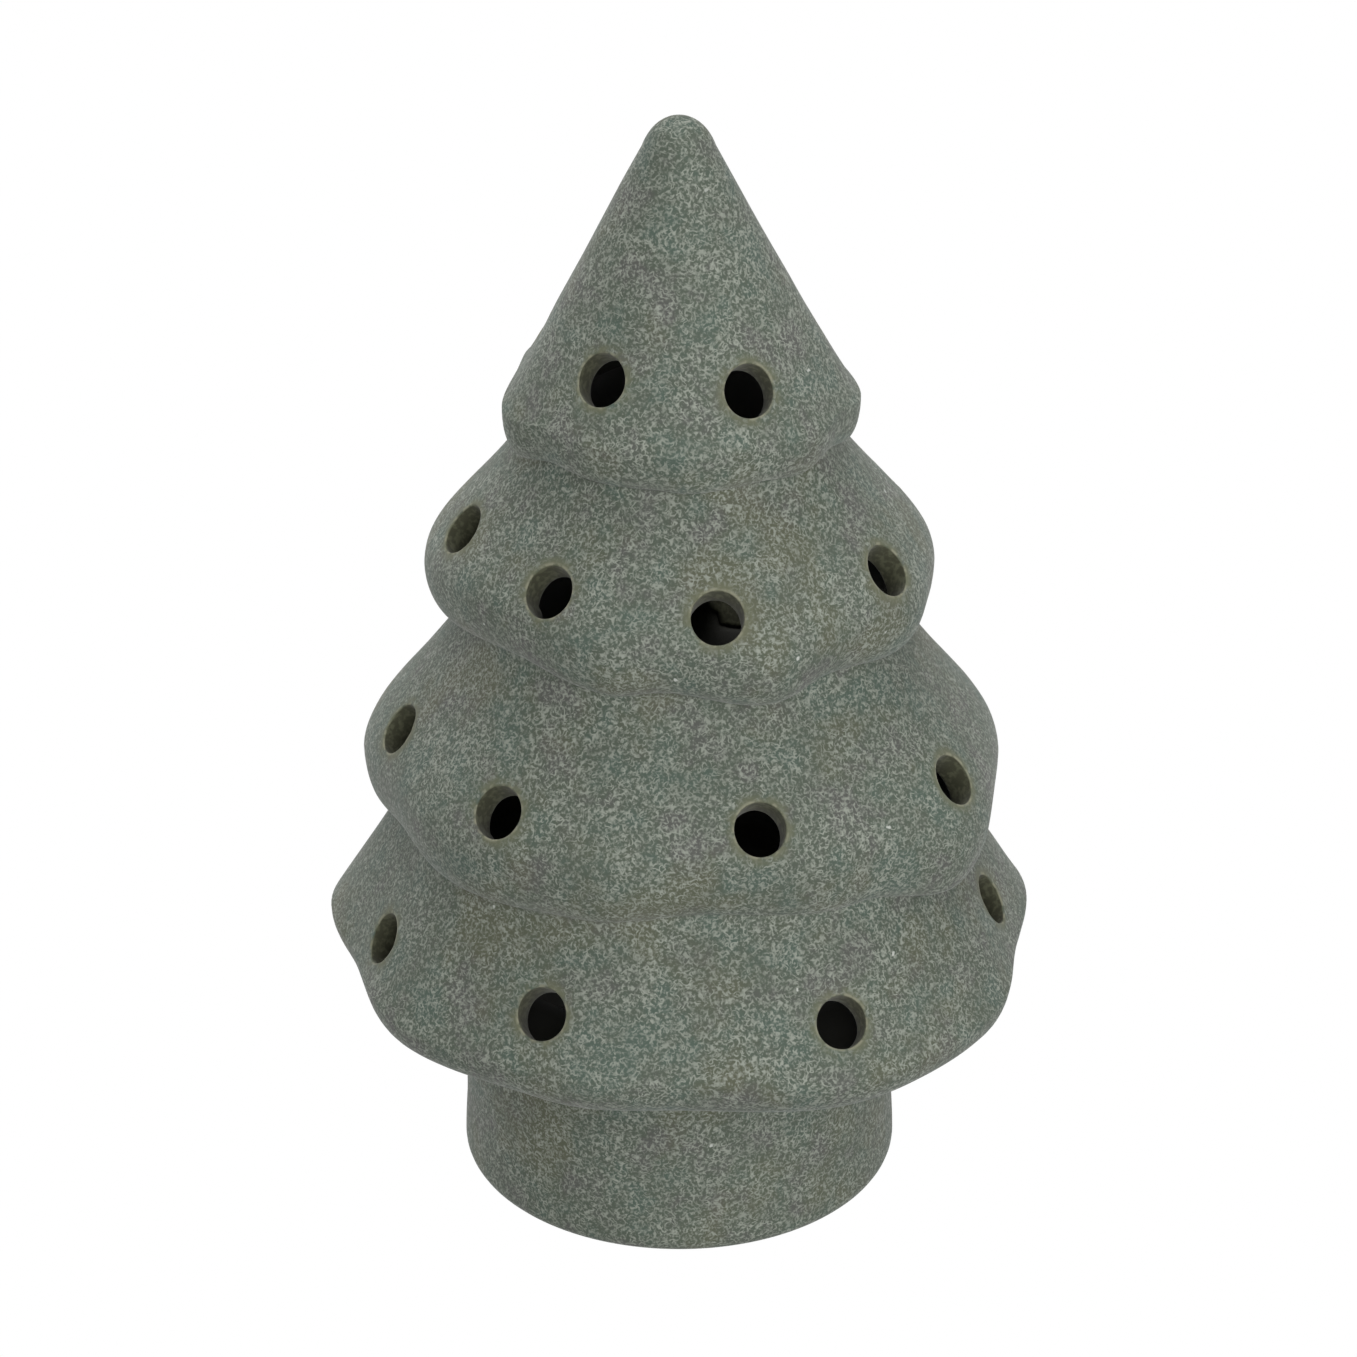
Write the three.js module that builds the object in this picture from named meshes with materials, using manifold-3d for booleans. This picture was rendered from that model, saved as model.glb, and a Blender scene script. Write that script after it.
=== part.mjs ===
// Christmas tree light house: a stoneware tree with four soft tiers on a wide hollow trunk.
// It stands over a battery tealight, whose light shows through round holes in the wall.
// Millimetres, +Z up, the foot on z = 0, the front of the tree towards -Y.

import * as THREE from 'three';
import { mergeVertices } from 'three/addons/utils/BufferGeometryUtils.js';
import Module from 'manifold-3d';

const wasm = await Module();
wasm.setup();

// Gap between pieces that touch
const SEAT = 0.3;

// Tree
const TREE_HEIGHT = 160.2;
const TIP_RADIUS = 5.3;
const TIP_DROP = 4.5;
const WALL = 4.2;
const TIP_THICKNESS = 10;
const TRUNK_RADIUS = 30.4;
const TRUNK_HEIGHT = 31.4;
const FOOT_ROUNDING = 2.5;
const FOOT_CHAMFER = 0.8;
const TRUNK_TOP_FILLET = 1.5;
const HOLE_RADIUS = 3.55;
const SWELL_STEP = 1;

// Tiers from the top: radius of the widest ring, how far the hem lies in from it and below it,
// the step in from the hem to the next neck, and the rise from the widest ring to that neck's hem
const TOP_TIER_RADIUS = 23.5;
const TOP_HEM_INSET = 1.9;
const TOP_RIM_DROP = 5.9;
const TOP_CREASE = 1.6;
const UPPER_TIER_RADIUS = 34.3;
const UPPER_HEM_INSET = 4;
const UPPER_RIM_DROP = 6.8;
const UPPER_CREASE = 2.2;
const UPPER_TIER_RISE = 21;
const LOWER_TIER_RADIUS = 42.6;
const LOWER_HEM_INSET = 2.7;
const LOWER_RIM_DROP = 7.5;
const LOWER_CREASE = 2.1;
const LOWER_TIER_RISE = 22.9;
const BOTTOM_TIER_RADIUS = 48.5;
const BOTTOM_HEM_INSET = 5.3;
const BOTTOM_RIM_DROP = 5.9;
const BOTTOM_TIER_RISE = 19.2;
const CREASE_RISE = 0.6;

const bottomWidestAt = TRUNK_HEIGHT + BOTTOM_RIM_DROP;
const lowerHemAt = bottomWidestAt + BOTTOM_TIER_RISE;
const lowerWidestAt = lowerHemAt + LOWER_RIM_DROP;
const upperHemAt = lowerWidestAt + LOWER_TIER_RISE;
const upperWidestAt = upperHemAt + UPPER_RIM_DROP;
const topHemAt = upperWidestAt + UPPER_TIER_RISE;

// Shape of each tier: fullness and roll bend the flank, and droop lowers the rim where it swells.
// holes are azimuths round the tree in degrees, 0 at the front and positive to the right,
// each with its place down the flank. swell lists the crests and valleys of the
// hand-shaped rim in the same azimuths, with how many swell steps each stands out.
const TIERS = [
  {
    widest: TOP_TIER_RADIUS, widestAt: topHemAt + TOP_RIM_DROP,
    hem: TOP_TIER_RADIUS - TOP_HEM_INSET, hemAt: topHemAt, crease: TOP_CREASE,
    fullness: 0.64, roll: 0.02, droop: 0.75,
    holes: [[-34.7, 0.53], [29.8, 0.56], [106, 0.54], [180, 0.54], [-108, 0.54]],
    swell: [
      [-158, -0.5], [-128, 0.3], [-100, -1.1], [-74, 1.4], [-50, -0.6], [-32, -0.5], [-10, -0.7],
      [4, -0.3], [28, -0.6], [50, 0.2], [66, -0.2], [87, 1.4], [110, -0.6], [132, 0.7],
      [155, -0.5], [178, 0.6],
    ],
  },
  {
    widest: UPPER_TIER_RADIUS, widestAt: upperWidestAt,
    hem: UPPER_TIER_RADIUS - UPPER_HEM_INSET, hemAt: upperHemAt, crease: UPPER_CREASE,
    fullness: 0.65, roll: 0.24, droop: 0.75,
    holes: [
      [-79.7, 0.47], [-37, 0.52], [9.8, 0.53], [63.3, 0.55], [115, 0.52], [168, 0.52],
      [-130, 0.52],
    ],
    swell: [
      [-160, 0.6], [-130, -0.9], [-98, 1.1], [-46, -2.6], [-18, -1.5], [-4, -2.4], [24, 0],
      [41, -1.3], [70, 0.9], [81, 0.6], [106, 1.3], [138, -0.8], [170, 0.9],
    ],
  },
  {
    widest: LOWER_TIER_RADIUS, widestAt: lowerWidestAt,
    hem: LOWER_TIER_RADIUS - LOWER_HEM_INSET, hemAt: lowerHemAt, crease: LOWER_CREASE,
    fullness: 0.62, roll: 0.22, droop: 0.7,
    holes: [
      [-80.6, 0.56], [-39.4, 0.56], [17, 0.55], [64.3, 0.57], [114, 0.56], [168, 0.56],
      [-132, 0.56],
    ],
    swell: [
      [-165, 1.2], [-132, -1.5], [-100, 2], [-70, -1.2], [-52, -0.6], [-20, -1.9], [4, -3.5],
      [38, -1.2], [62, 3.2], [84, 1.8], [108, 2.9], [140, -1], [168, 0.6],
    ],
  },
  {
    widest: BOTTOM_TIER_RADIUS, widestAt: bottomWidestAt,
    hem: BOTTOM_TIER_RADIUS - BOTTOM_HEM_INSET, hemAt: TRUNK_HEIGHT,
    fullness: 0.56, roll: 0.02, droop: 0,
    holes: [
      [-67.9, 0.48], [-25.5, 0.41], [28.8, 0.44], [80.2, 0.44], [136, 0.44], [-172, 0.44],
      [-120, 0.44],
    ],
    swell: [
      [-150, 0.9], [-122, -2.6], [-97, 1], [-75, -1.7], [-54, 0.4], [-30, -1.2], [-20, -0.8],
      [0, -2.2], [34, 2.6], [58, 2.4], [81, -0.5], [102, 1.4], [124, -0.7], [152, 1],
      [178, -1.9],
    ],
  },
];

// Share of a tier's swell that its flank already has at the neck
const NECK_SWELL = 0.3;
const SKIN_COLUMNS = 48;
const BORE_COLUMNS = 32;
const FLANK_STEPS = 5;
const RIM_STEPS = 3;
const HOLE_SIDES = 12;

// Battery tealight: housing
const LIGHT_RADIUS = 19;
const LIGHT_TOP_RADIUS = 18.6;
const LIGHT_HEIGHT = 17;
const LIGHT_WALL = 1.3;
const POOL_DEPTH = 2.2;
const POOL_SLOPE = 0.7;
const TOP_THICKNESS = 1.4;
const RIM_ROUNDING = 0.5;
const LEDGE = 0.5;
const BEAD = 0.45;
const FLAME_HOLE_RADIUS = 4.6;

// Base plate, battery pocket and door, which share the plate's underside
const PLATE_BOTTOM = 0.8;
const PLATE_THICKNESS = 2;
const DOOR_THICKNESS = 1.6;
const CELL_RADIUS = 10;
const CELL_THICKNESS = 3.2;
const CELL_CAP_RADIUS = 8.9;
const CELL_STEP = 0.7;
const POCKET_X = -4.6;
const POCKET_CLEARANCE = 0.4;
const POCKET_WALL = 1.9;
const DOOR_OVERHANG = 1;
const EAR_WIDTH = 5.6;
const EAR_SCREW_OFFSET = 12.9;
const TONGUE_X = 6;
const TONGUE_WIDTH = 2.4;
const TONGUE_LENGTH = 1.6;
const TONGUE_THICKNESS = 0.6;
const TONGUE_HEADROOM = 1.7;
const PLATE_SIDES = 48;

// Screws
const DOOR_SCREW_RADIUS = 0.9;
const DOOR_SCREW_HEAD_RADIUS = 1.9;
const DOOR_SCREW_HEAD_HEIGHT = 0.8;
const DOOR_SCREW_ENGAGEMENT = 1.5;
const DOOR_SCREW_RECESS = 0.1;
const CROSS_LENGTH = 2.2;
const CROSS_WIDTH = 0.5;
const CROSS_DEPTH = 0.4;
const BOARD_SCREW_RADIUS = 0.8;
const BOARD_SCREW_HEAD_RADIUS = 1.7;
const BOARD_SCREW_HEAD_HEIGHT = 1.1;
const BOARD_SCREW_LENGTH = 5;
const SCREW_BOSS_WALL = 1;

// Circuit board, light source and contacts
const BOARD_CLEARANCE = 1;
const BOARD_THICKNESS = 1;
const POST_INSET = 3.08;
const POST_ANGLE = 60.3;
const REAR_POST_INSET = 1.8;
const REAR_POST_RADIUS = 1.6;
const CONTACT_THICKNESS = 0.3;
const CONTACT_WIDTH = 4;
const CONTACT_FOOT = 2.4;
const DIMPLE_RADIUS = 1.3;
const CHIP_LENGTH = 4.9;
const CHIP_WIDTH = 3.9;
const CHIP_HEIGHT = 1.4;
const CHIP_X = -8;
const LED_RADIUS = 2.5;
const LED_FLANGE_RADIUS = 2.9;
const LED_FLANGE_HEIGHT = 1;
const LED_HEIGHT = 8.6;
const LED_LEG_LENGTH = 3.6;
const LED_LEG_SIZE = 0.5;
const LED_LEG_SPACING = 2.54;

// Slide switch
const SWITCH_X = 11.3;
const SWITCH_TRAVEL = 3;
const SWITCH_CASE_WALL = 0.4;
const SLIDER_WIDTH = 2.6;
const SLIDER_LENGTH = 4.4;
const SLIDER_HEIGHT = 2;
const STEM_WIDTH = 1.8;
const STEM_LENGTH = 3;
const GRIP_GROOVE = 0.5;

// Flame tip
const FLAME_HEIGHT = 19.5;
const FLAME_NECK_RADIUS = 4.3;
const FLAME_BELLY = 4.9;
const FLAME_BELLY_AT = 4.2;
const FLAME_SKIRT_RADIUS = 5.6;
const FLAME_SKIRT_HEIGHT = 0.8;
const FLAME_BARB = 0.6;
const FLAME_BARB_HEIGHT = 0.9;
const FLAME_BORE_RADIUS = 3.3;
const FLAME_BORE_HEIGHT = 12.5;

// Heights that the light's pieces share
const plateTop = PLATE_BOTTOM + PLATE_THICKNESS;
const doorTop = PLATE_BOTTOM + DOOR_THICKNESS;
const cellBottom = doorTop + SEAT;
const cellTop = cellBottom + CELL_THICKNESS;
const pocketTop = cellTop + SEAT;
const stripBottom = pocketTop + SEAT;
const stripTop = stripBottom + CONTACT_THICKNESS;
const boardBottom = stripTop + 1;
const boardTop = boardBottom + BOARD_THICKNESS;
const poolFloor = LIGHT_HEIGHT - POOL_DEPTH;
const ceiling = poolFloor - TOP_THICKNESS;
const plateRadius = LIGHT_RADIUS - LIGHT_WALL - SEAT + 0.1;
const boardRadius = LIGHT_RADIUS - LIGHT_WALL - LEDGE - BOARD_CLEARANCE;
const postX = (boardRadius - POST_INSET) * Math.cos(THREE.MathUtils.degToRad(POST_ANGLE));
const postY = (boardRadius - POST_INSET) * Math.sin(THREE.MathUtils.degToRad(POST_ANGLE));
const doorRadius = CELL_RADIUS + DOOR_OVERHANG;
const doorway = doorRadius + SEAT;
const pocketRadius = CELL_RADIUS + POCKET_CLEARANCE;
const earEnd = EAR_SCREW_OFFSET + DOOR_SCREW_HEAD_RADIUS + SEAT + 0.5;
const bossBottom = doorTop + SEAT;

// Finishes
const finish = {
  glaze: new THREE.MeshStandardMaterial({ color: 0x6b7067, roughness: 0.85, metalness: 0 }),
  ivory: new THREE.MeshStandardMaterial({ color: 0xe9e4d4, roughness: 0.45, metalness: 0 }),
  flame: new THREE.MeshStandardMaterial({ color: 0xf2e3bd, roughness: 0.35, metalness: 0 }),
  epoxy: new THREE.MeshStandardMaterial({ color: 0xf3d9a0, roughness: 0.1, metalness: 0 }),
  tin: new THREE.MeshStandardMaterial({ color: 0xc4c5c2, roughness: 0.35, metalness: 1 }),
  steel: new THREE.MeshStandardMaterial({ color: 0xb9babb, roughness: 0.28, metalness: 1 }),
  spring: new THREE.MeshStandardMaterial({ color: 0xc9b98c, roughness: 0.35, metalness: 1 }),
  board: new THREE.MeshStandardMaterial({ color: 0x2f5a3c, roughness: 0.5, metalness: 0 }),
  chip: new THREE.MeshStandardMaterial({ color: 0x1d1d1f, roughness: 0.6, metalness: 0 }),
  knob: new THREE.MeshStandardMaterial({ color: 0x2a2a2c, roughness: 0.5, metalness: 0 }),
};

const tree = new THREE.Group();

// Solids: every geometry is welded to bare positions, with its faces turned outwards
function weld(geometry) {
  geometry.deleteAttribute('normal');
  geometry.deleteAttribute('uv');
  const merged = mergeVertices(geometry, 1e-4);
  const p = merged.attributes.position.array;
  const index = merged.index.array;
  const faces = [];
  let volume = 0;
  for (let i = 0; i < index.length; i += 3) {
    const [a, b, c] = [index[i], index[i + 1], index[i + 2]];
    if (a === b || b === c || c === a) continue;
    faces.push([a, b, c]);
    const [A, B, C] = [a, b, c].map((v) => new THREE.Vector3().fromArray(p, 3 * v));
    volume += A.dot(B.cross(C));
  }
  const turned = volume < 0 ? faces.map(([a, b, c]) => [a, c, b]) : faces;
  return { vertProperties: new Float32Array(p), triVerts: new Uint32Array(turned.flat()) };
}

function solid(geometry) {
  return new wasm.Manifold(new wasm.Mesh({ numProp: 3, ...weld(geometry) }));
}

function join(first, ...others) {
  return others.reduce((sum, other) => sum.add(other), first);
}

function cut(first, ...others) {
  return others.reduce((rest, other) => rest.subtract(other), first);
}

function addPiece(name, body, material) {
  const { vertProperties, triVerts } = body.getMesh();
  const geometry = new THREE.BufferGeometry();
  geometry.setAttribute('position', new THREE.BufferAttribute(new Float32Array(vertProperties), 3));
  geometry.setIndex(new THREE.BufferAttribute(new Uint32Array(triVerts), 1));
  geometry.computeVertexNormals();
  const piece = new THREE.Mesh(geometry, material);
  piece.name = name;
  tree.add(piece);
}

// Basic shapes, all standing along Z
function turned(profile, sides) {
  const points = profile.map(([r, z]) => new THREE.Vector2(r, z));
  return solid(new THREE.LatheGeometry(points, sides).rotateX(Math.PI / 2));
}

function rod(radius, bottom, top, sides, x = 0, y = 0) {
  const shaft = new THREE.CylinderGeometry(radius, radius, top - bottom, sides);
  return solid(shaft.rotateX(Math.PI / 2).translate(x, y, (bottom + top) / 2));
}

function block([x0, x1], [y0, y1], [z0, z1]) {
  const box = new THREE.BoxGeometry(x1 - x0, y1 - y0, z1 - z0);
  return solid(box.translate((x0 + x1) / 2, (y0 + y1) / 2, (z0 + z1) / 2));
}

function span(middle, length) {
  return [middle - length / 2, middle + length / 2];
}

// Tree outline: rings from the tip down, each with a radius, a height, its tier and
// how much of that tier's swell it takes
function onCurve(controls, steps, ring) {
  const curve = new THREE.CubicBezierCurve(...controls.map(([r, z]) => new THREE.Vector2(r, z)));
  return curve.getPoints(steps).slice(1).map((p, i) => ring(p.x, p.y, (i + 1) / steps));
}

function neckAbove(k) {
  if (k === 0) return [TIP_RADIUS, TREE_HEIGHT - TIP_DROP];
  const above = TIERS[k - 1];
  return [above.hem - above.crease, above.hemAt + CREASE_RISE];
}

function flankControls(k) {
  const { widest, widestAt, fullness, roll } = TIERS[k];
  const [r, z] = neckAbove(k);
  return [
    [r, z],
    [r + 0.95 * fullness * (widest - r), z + fullness * (widestAt - z)],
    [widest, widestAt + roll * (z - widestAt)],
    [widest, widestAt],
  ];
}

function flankShare(k, u) {
  return k === 0 ? u ** 1.5 : NECK_SWELL + (1 - NECK_SWELL) * u;
}

function tierRings(k) {
  const { widest, widestAt, hem, hemAt } = TIERS[k];
  const [r, z] = neckAbove(k);
  const drop = widestAt - hemAt;
  const rim = [
    [widest, widestAt],
    [widest, widestAt - 0.55 * drop],
    [(widest + hem) / 2, hemAt],
    [hem, hemAt],
  ];
  const ring = (radius, height, share) => ({ radius, height, tier: k, share });
  return [
    ring(r, z, k === 0 ? 0 : NECK_SWELL),
    ...onCurve(flankControls(k), FLANK_STEPS, (x, y, u) => ring(x, y, flankShare(k, u))),
    ...onCurve(rim, RIM_STEPS, (x, y) => ring(x, y, 1)),
  ];
}

function swellAt(k, azimuth) {
  const marks = TIERS[k].swell;
  const after = marks.findIndex(([at]) => at > azimuth);
  const [i, j] = after <= 0 ? [marks.length - 1, 0] : [after - 1, after];
  const width = (marks[j][0] - marks[i][0] + 360) % 360;
  const along = ((azimuth - marks[i][0] + 360) % 360) / width;
  const blend = (1 - Math.cos(Math.PI * along)) / 2;
  return SWELL_STEP * (marks[i][1] + (marks[j][1] - marks[i][1]) * blend);
}

function around(radius, height, azimuth) {
  const a = THREE.MathUtils.degToRad(azimuth);
  return new THREE.Vector3(radius * Math.sin(a), -radius * Math.cos(a), height);
}

// Closed skin through the rings, drawn to a point on the axis at top and bottom
function skin(rings, top, bottom, columns) {
  const points = [new THREE.Vector3(0, 0, top)];
  const azimuths = Array.from({ length: columns }, (_, i) => -180 + (360 * i) / columns);
  for (const { radius, height, tier, share } of rings) {
    for (const azimuth of azimuths) {
      const out = share * (share > 0 ? swellAt(tier, azimuth) : 0);
      const droop = share > 0 ? TIERS[tier].droop * share * out : 0;
      points.push(around(radius + out, height - droop, azimuth));
    }
  }
  points.push(new THREE.Vector3(0, 0, bottom));
  const last = points.length - 1;
  const at = (ring, column) => 1 + ring * columns + (column % columns);
  const faces = [];
  for (let c = 0; c < columns; c += 1) {
    faces.push(0, at(0, c), at(0, c + 1));
    for (let r = 0; r < rings.length - 1; r += 1) {
      faces.push(at(r, c), at(r + 1, c), at(r + 1, c + 1));
      faces.push(at(r, c), at(r + 1, c + 1), at(r, c + 1));
    }
    faces.push(at(rings.length - 1, c), last, at(rings.length - 1, c + 1));
  }
  const geometry = new THREE.BufferGeometry().setFromPoints(points);
  geometry.setIndex(faces);
  return solid(geometry);
}

function outside() {
  const plain = (radius, height) => ({ radius, height, tier: 0, share: 0 });
  const [tipRadius, tipEdge] = neckAbove(0);
  const nose = [
    [0, TREE_HEIGHT],
    [0.6 * tipRadius, TREE_HEIGHT],
    [0.88 * tipRadius, tipEdge + 0.41 * TIP_DROP],
    [tipRadius, tipEdge],
  ];
  const trunkTop = TRUNK_HEIGHT + CREASE_RISE;
  const rings = onCurve(nose, 4, plain).slice(0, -1);
  TIERS.forEach((_, k) => rings.push(...tierRings(k)));
  rings.push(plain(TRUNK_RADIUS + TRUNK_TOP_FILLET, trunkTop));
  rings.push(plain(TRUNK_RADIUS, trunkTop - TRUNK_TOP_FILLET));
  for (let i = 0; i <= 3; i += 1) {
    const a = (i * Math.PI) / 6;
    const inset = FOOT_ROUNDING * (1 - Math.cos(a));
    rings.push(plain(TRUNK_RADIUS - inset, FOOT_ROUNDING * (1 - Math.sin(a))));
  }
  return skin(rings, TREE_HEIGHT, 0, SKIN_COLUMNS);
}

// The cavity keeps the wall's thickness behind the tiers, and runs out through the foot
function inside() {
  const bore = TRUNK_RADIUS - WALL;
  const floor = -1;
  const rings = [];
  TIERS.forEach(({ widest, widestAt, hem, hemAt }, k) => {
    const [r, z] = neckAbove(k);
    const middle = new THREE.CubicBezierCurve(
      ...flankControls(k).map(([x, y]) => new THREE.Vector2(x, y)),
    ).getPoint(0.5);
    const ring = (radius, height, share) => ({ radius, height, tier: k, share });
    if (k > 0) rings.push(ring(r - 1.35 * WALL, z + WALL / 2, NECK_SWELL));
    rings.push(ring(middle.x - 1.2 * WALL, middle.y, flankShare(k, 0.5)));
    rings.push(ring(widest - 1.15 * WALL, widestAt + WALL / 4, 1));
    if (k === TIERS.length - 1) rings.push(ring(hem - 1.1 * WALL, hemAt + WALL, 1));
  });
  const shoulder = TRUNK_HEIGHT + WALL + CREASE_RISE;
  rings.push({ radius: bore + WALL / 2, height: shoulder, tier: 0, share: 0 });
  rings.push({ radius: bore, height: shoulder - WALL / 2, tier: 0, share: 0 });
  rings.push({ radius: bore, height: FOOT_CHAMFER, tier: 0, share: 0 });
  rings.push({ radius: bore + FOOT_CHAMFER - floor, height: floor, tier: 0, share: 0 });
  return skin(rings, TREE_HEIGHT - TIP_THICKNESS, floor, BORE_COLUMNS);
}

// Light holes are bored square to the flank
function lightHole(k, azimuth, placeDown) {
  const flank = new THREE.CubicBezierCurve(
    ...flankControls(k).map(([r, z]) => new THREE.Vector2(r, z)),
  );
  const place = flank.getPoint(placeDown);
  const along = flank.getTangent(placeDown);
  const share = flankShare(k, placeDown);
  const out = share * swellAt(k, azimuth);
  const mouth = around(place.x + out, place.y - TIERS[k].droop * share * out, azimuth);
  const outwards = around(-along.y, along.x, azimuth).normalize();
  const drill = new THREE.CylinderGeometry(HOLE_RADIUS, HOLE_RADIUS, 4 * WALL, HOLE_SIDES);
  const turn = new THREE.Quaternion().setFromUnitVectors(new THREE.Vector3(0, 1, 0), outwards);
  return solid(drill.applyQuaternion(turn).translate(mouth.x, mouth.y, mouth.z));
}

function treeShell() {
  const drills = TIERS.flatMap(({ holes }, k) => holes.map((hole) => lightHole(k, ...hole)));
  return cut(outside(), inside(), ...drills);
}

// Tealight housing: an upturned cup with a sunken top, a ledge and a bead for the base plate
function lightHousing() {
  const bore = LIGHT_RADIUS - LIGHT_WALL;
  const ledgeAt = plateTop + SEAT;
  const beadTop = PLATE_BOTTOM - SEAT;
  return turned([
    [bore + LEDGE, 0],
    [LIGHT_RADIUS, 0],
    [LIGHT_TOP_RADIUS, LIGHT_HEIGHT - RIM_ROUNDING],
    [LIGHT_TOP_RADIUS - RIM_ROUNDING, LIGHT_HEIGHT],
    [LIGHT_TOP_RADIUS - LIGHT_WALL, LIGHT_HEIGHT],
    [LIGHT_TOP_RADIUS - LIGHT_WALL - POOL_SLOPE, poolFloor],
    [FLAME_HOLE_RADIUS, poolFloor],
    [FLAME_HOLE_RADIUS, ceiling],
    [bore - LEDGE, ceiling],
    [bore - LEDGE, ledgeAt],
    [bore, ledgeAt],
    [bore, beadTop + 0.1],
    [bore - BEAD, beadTop],
    [bore - BEAD, beadTop - 0.2],
    [bore + LEDGE, 0],
  ], PLATE_SIDES);
}

// Flame tip: a hollow drop with a skirt on the sunken top and a barb ring below it
function flameTip() {
  const skirtBottom = poolFloor + SEAT;
  const skirtTop = skirtBottom + FLAME_SKIRT_HEIGHT;
  const barbTop = ceiling - SEAT;
  const bottom = barbTop - FLAME_BARB_HEIGHT;
  const drop = new THREE.SplineCurve([
    [FLAME_NECK_RADIUS, skirtTop],
    [FLAME_BELLY, skirtTop + FLAME_BELLY_AT],
    [0.72 * FLAME_BELLY, skirtTop + 0.55 * FLAME_HEIGHT],
    [0.32 * FLAME_BELLY, skirtTop + 0.85 * FLAME_HEIGHT],
    [0, skirtTop + FLAME_HEIGHT],
  ].map(([r, z]) => new THREE.Vector2(r, z))).getPoints(12).map((p) => [Math.max(p.x, 0), p.y]);
  const outer = turned([
    [0, bottom],
    [FLAME_NECK_RADIUS, bottom],
    [FLAME_NECK_RADIUS + FLAME_BARB, barbTop],
    [FLAME_NECK_RADIUS, barbTop],
    [FLAME_NECK_RADIUS, skirtBottom],
    [FLAME_SKIRT_RADIUS, skirtBottom],
    [FLAME_SKIRT_RADIUS, skirtTop],
    ...drop,
  ], 24);
  const bore = turned([
    [0, bottom - 1],
    [FLAME_BORE_RADIUS, bottom - 1],
    [FLAME_BORE_RADIUS, bottom + FLAME_BORE_HEIGHT],
    [0, bottom + FLAME_BORE_HEIGHT + FLAME_BORE_RADIUS],
  ], 16);
  return cut(outer, bore);
}

function tongueSlot(side) {
  return span(POCKET_X + side * TONGUE_X, TONGUE_WIDTH + 2 * SEAT);
}

// Base plate: the pocket for the cell, the doorway, the switch slot, the posts and the boss.
// Each tongue lies on a ledge that starts at the hinge line, so that the door can turn there.
function basePlate() {
  const postBore = BOARD_SCREW_RADIUS + SEAT;
  const postRadius = postBore + SCREW_BOSS_WALL;
  const postTop = boardBottom - SEAT;
  const bossBore = DOOR_SCREW_RADIUS + SEAT + 0.05;
  const bossWidth = EAR_WIDTH + 2 * SEAT + 2 * SCREW_BOSS_WALL;
  const bossY = [-(earEnd + SEAT), -(pocketRadius + 1)];
  const inner = plateRadius - 0.8;
  const body = join(
    rod(plateRadius, PLATE_BOTTOM, plateTop, PLATE_SIDES),
    rod(pocketRadius + POCKET_WALL, PLATE_BOTTOM, pocketTop, 36, POCKET_X),
    block(span(POCKET_X, bossWidth), bossY, [PLATE_BOTTOM, pocketTop])
      .intersect(rod(inner, PLATE_BOTTOM, pocketTop, PLATE_SIDES)),
    rod(REAR_POST_RADIUS, PLATE_BOTTOM, postTop, 16, REAR_POST_INSET - boardRadius),
    ...[-1, 1].map((side) => rod(postRadius, PLATE_BOTTOM, postTop, 16, postX, side * postY)),
  );
  const floor = PLATE_BOTTOM - 1;
  const tongueTop = doorTop + TONGUE_HEADROOM;
  const ledgeTop = doorTop - TONGUE_THICKNESS - SEAT;
  return cut(
    body,
    rod(doorway, floor, bossBottom, 36, POCKET_X),
    rod(pocketRadius, floor, pocketTop + 1, 36, POCKET_X),
    block(span(POCKET_X, EAR_WIDTH + 2 * SEAT), [-(earEnd + SEAT), 0], [floor, bossBottom])
      .intersect(rod(inner, floor, bossBottom, PLATE_SIDES)),
    rod(bossBore, floor, pocketTop + 1, 16, POCKET_X, -EAR_SCREW_OFFSET),
    ...[-1, 1].flatMap((side) => [
      block(tongueSlot(side), [0, doorRadius + TONGUE_LENGTH + SEAT], [ledgeTop, tongueTop]),
      block(tongueSlot(side), [0, doorRadius], [floor, tongueTop]),
    ]),
    ...[-1, 1].map((side) => rod(postBore, plateTop, postTop + 1, 12, postX, side * postY)),
    block(
      span(SWITCH_X, STEM_WIDTH + 2 * SEAT),
      span(0, STEM_LENGTH + SWITCH_TRAVEL + 2 * SEAT),
      [floor, plateTop + 1],
    ),
    block(
      [POCKET_X + pocketRadius - 1, POCKET_X + pocketRadius + POCKET_WALL + 1],
      span(0, CONTACT_WIDTH + 2 * SEAT),
      [cellBottom - SEAT, pocketTop + 1],
    ),
  );
}

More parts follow.
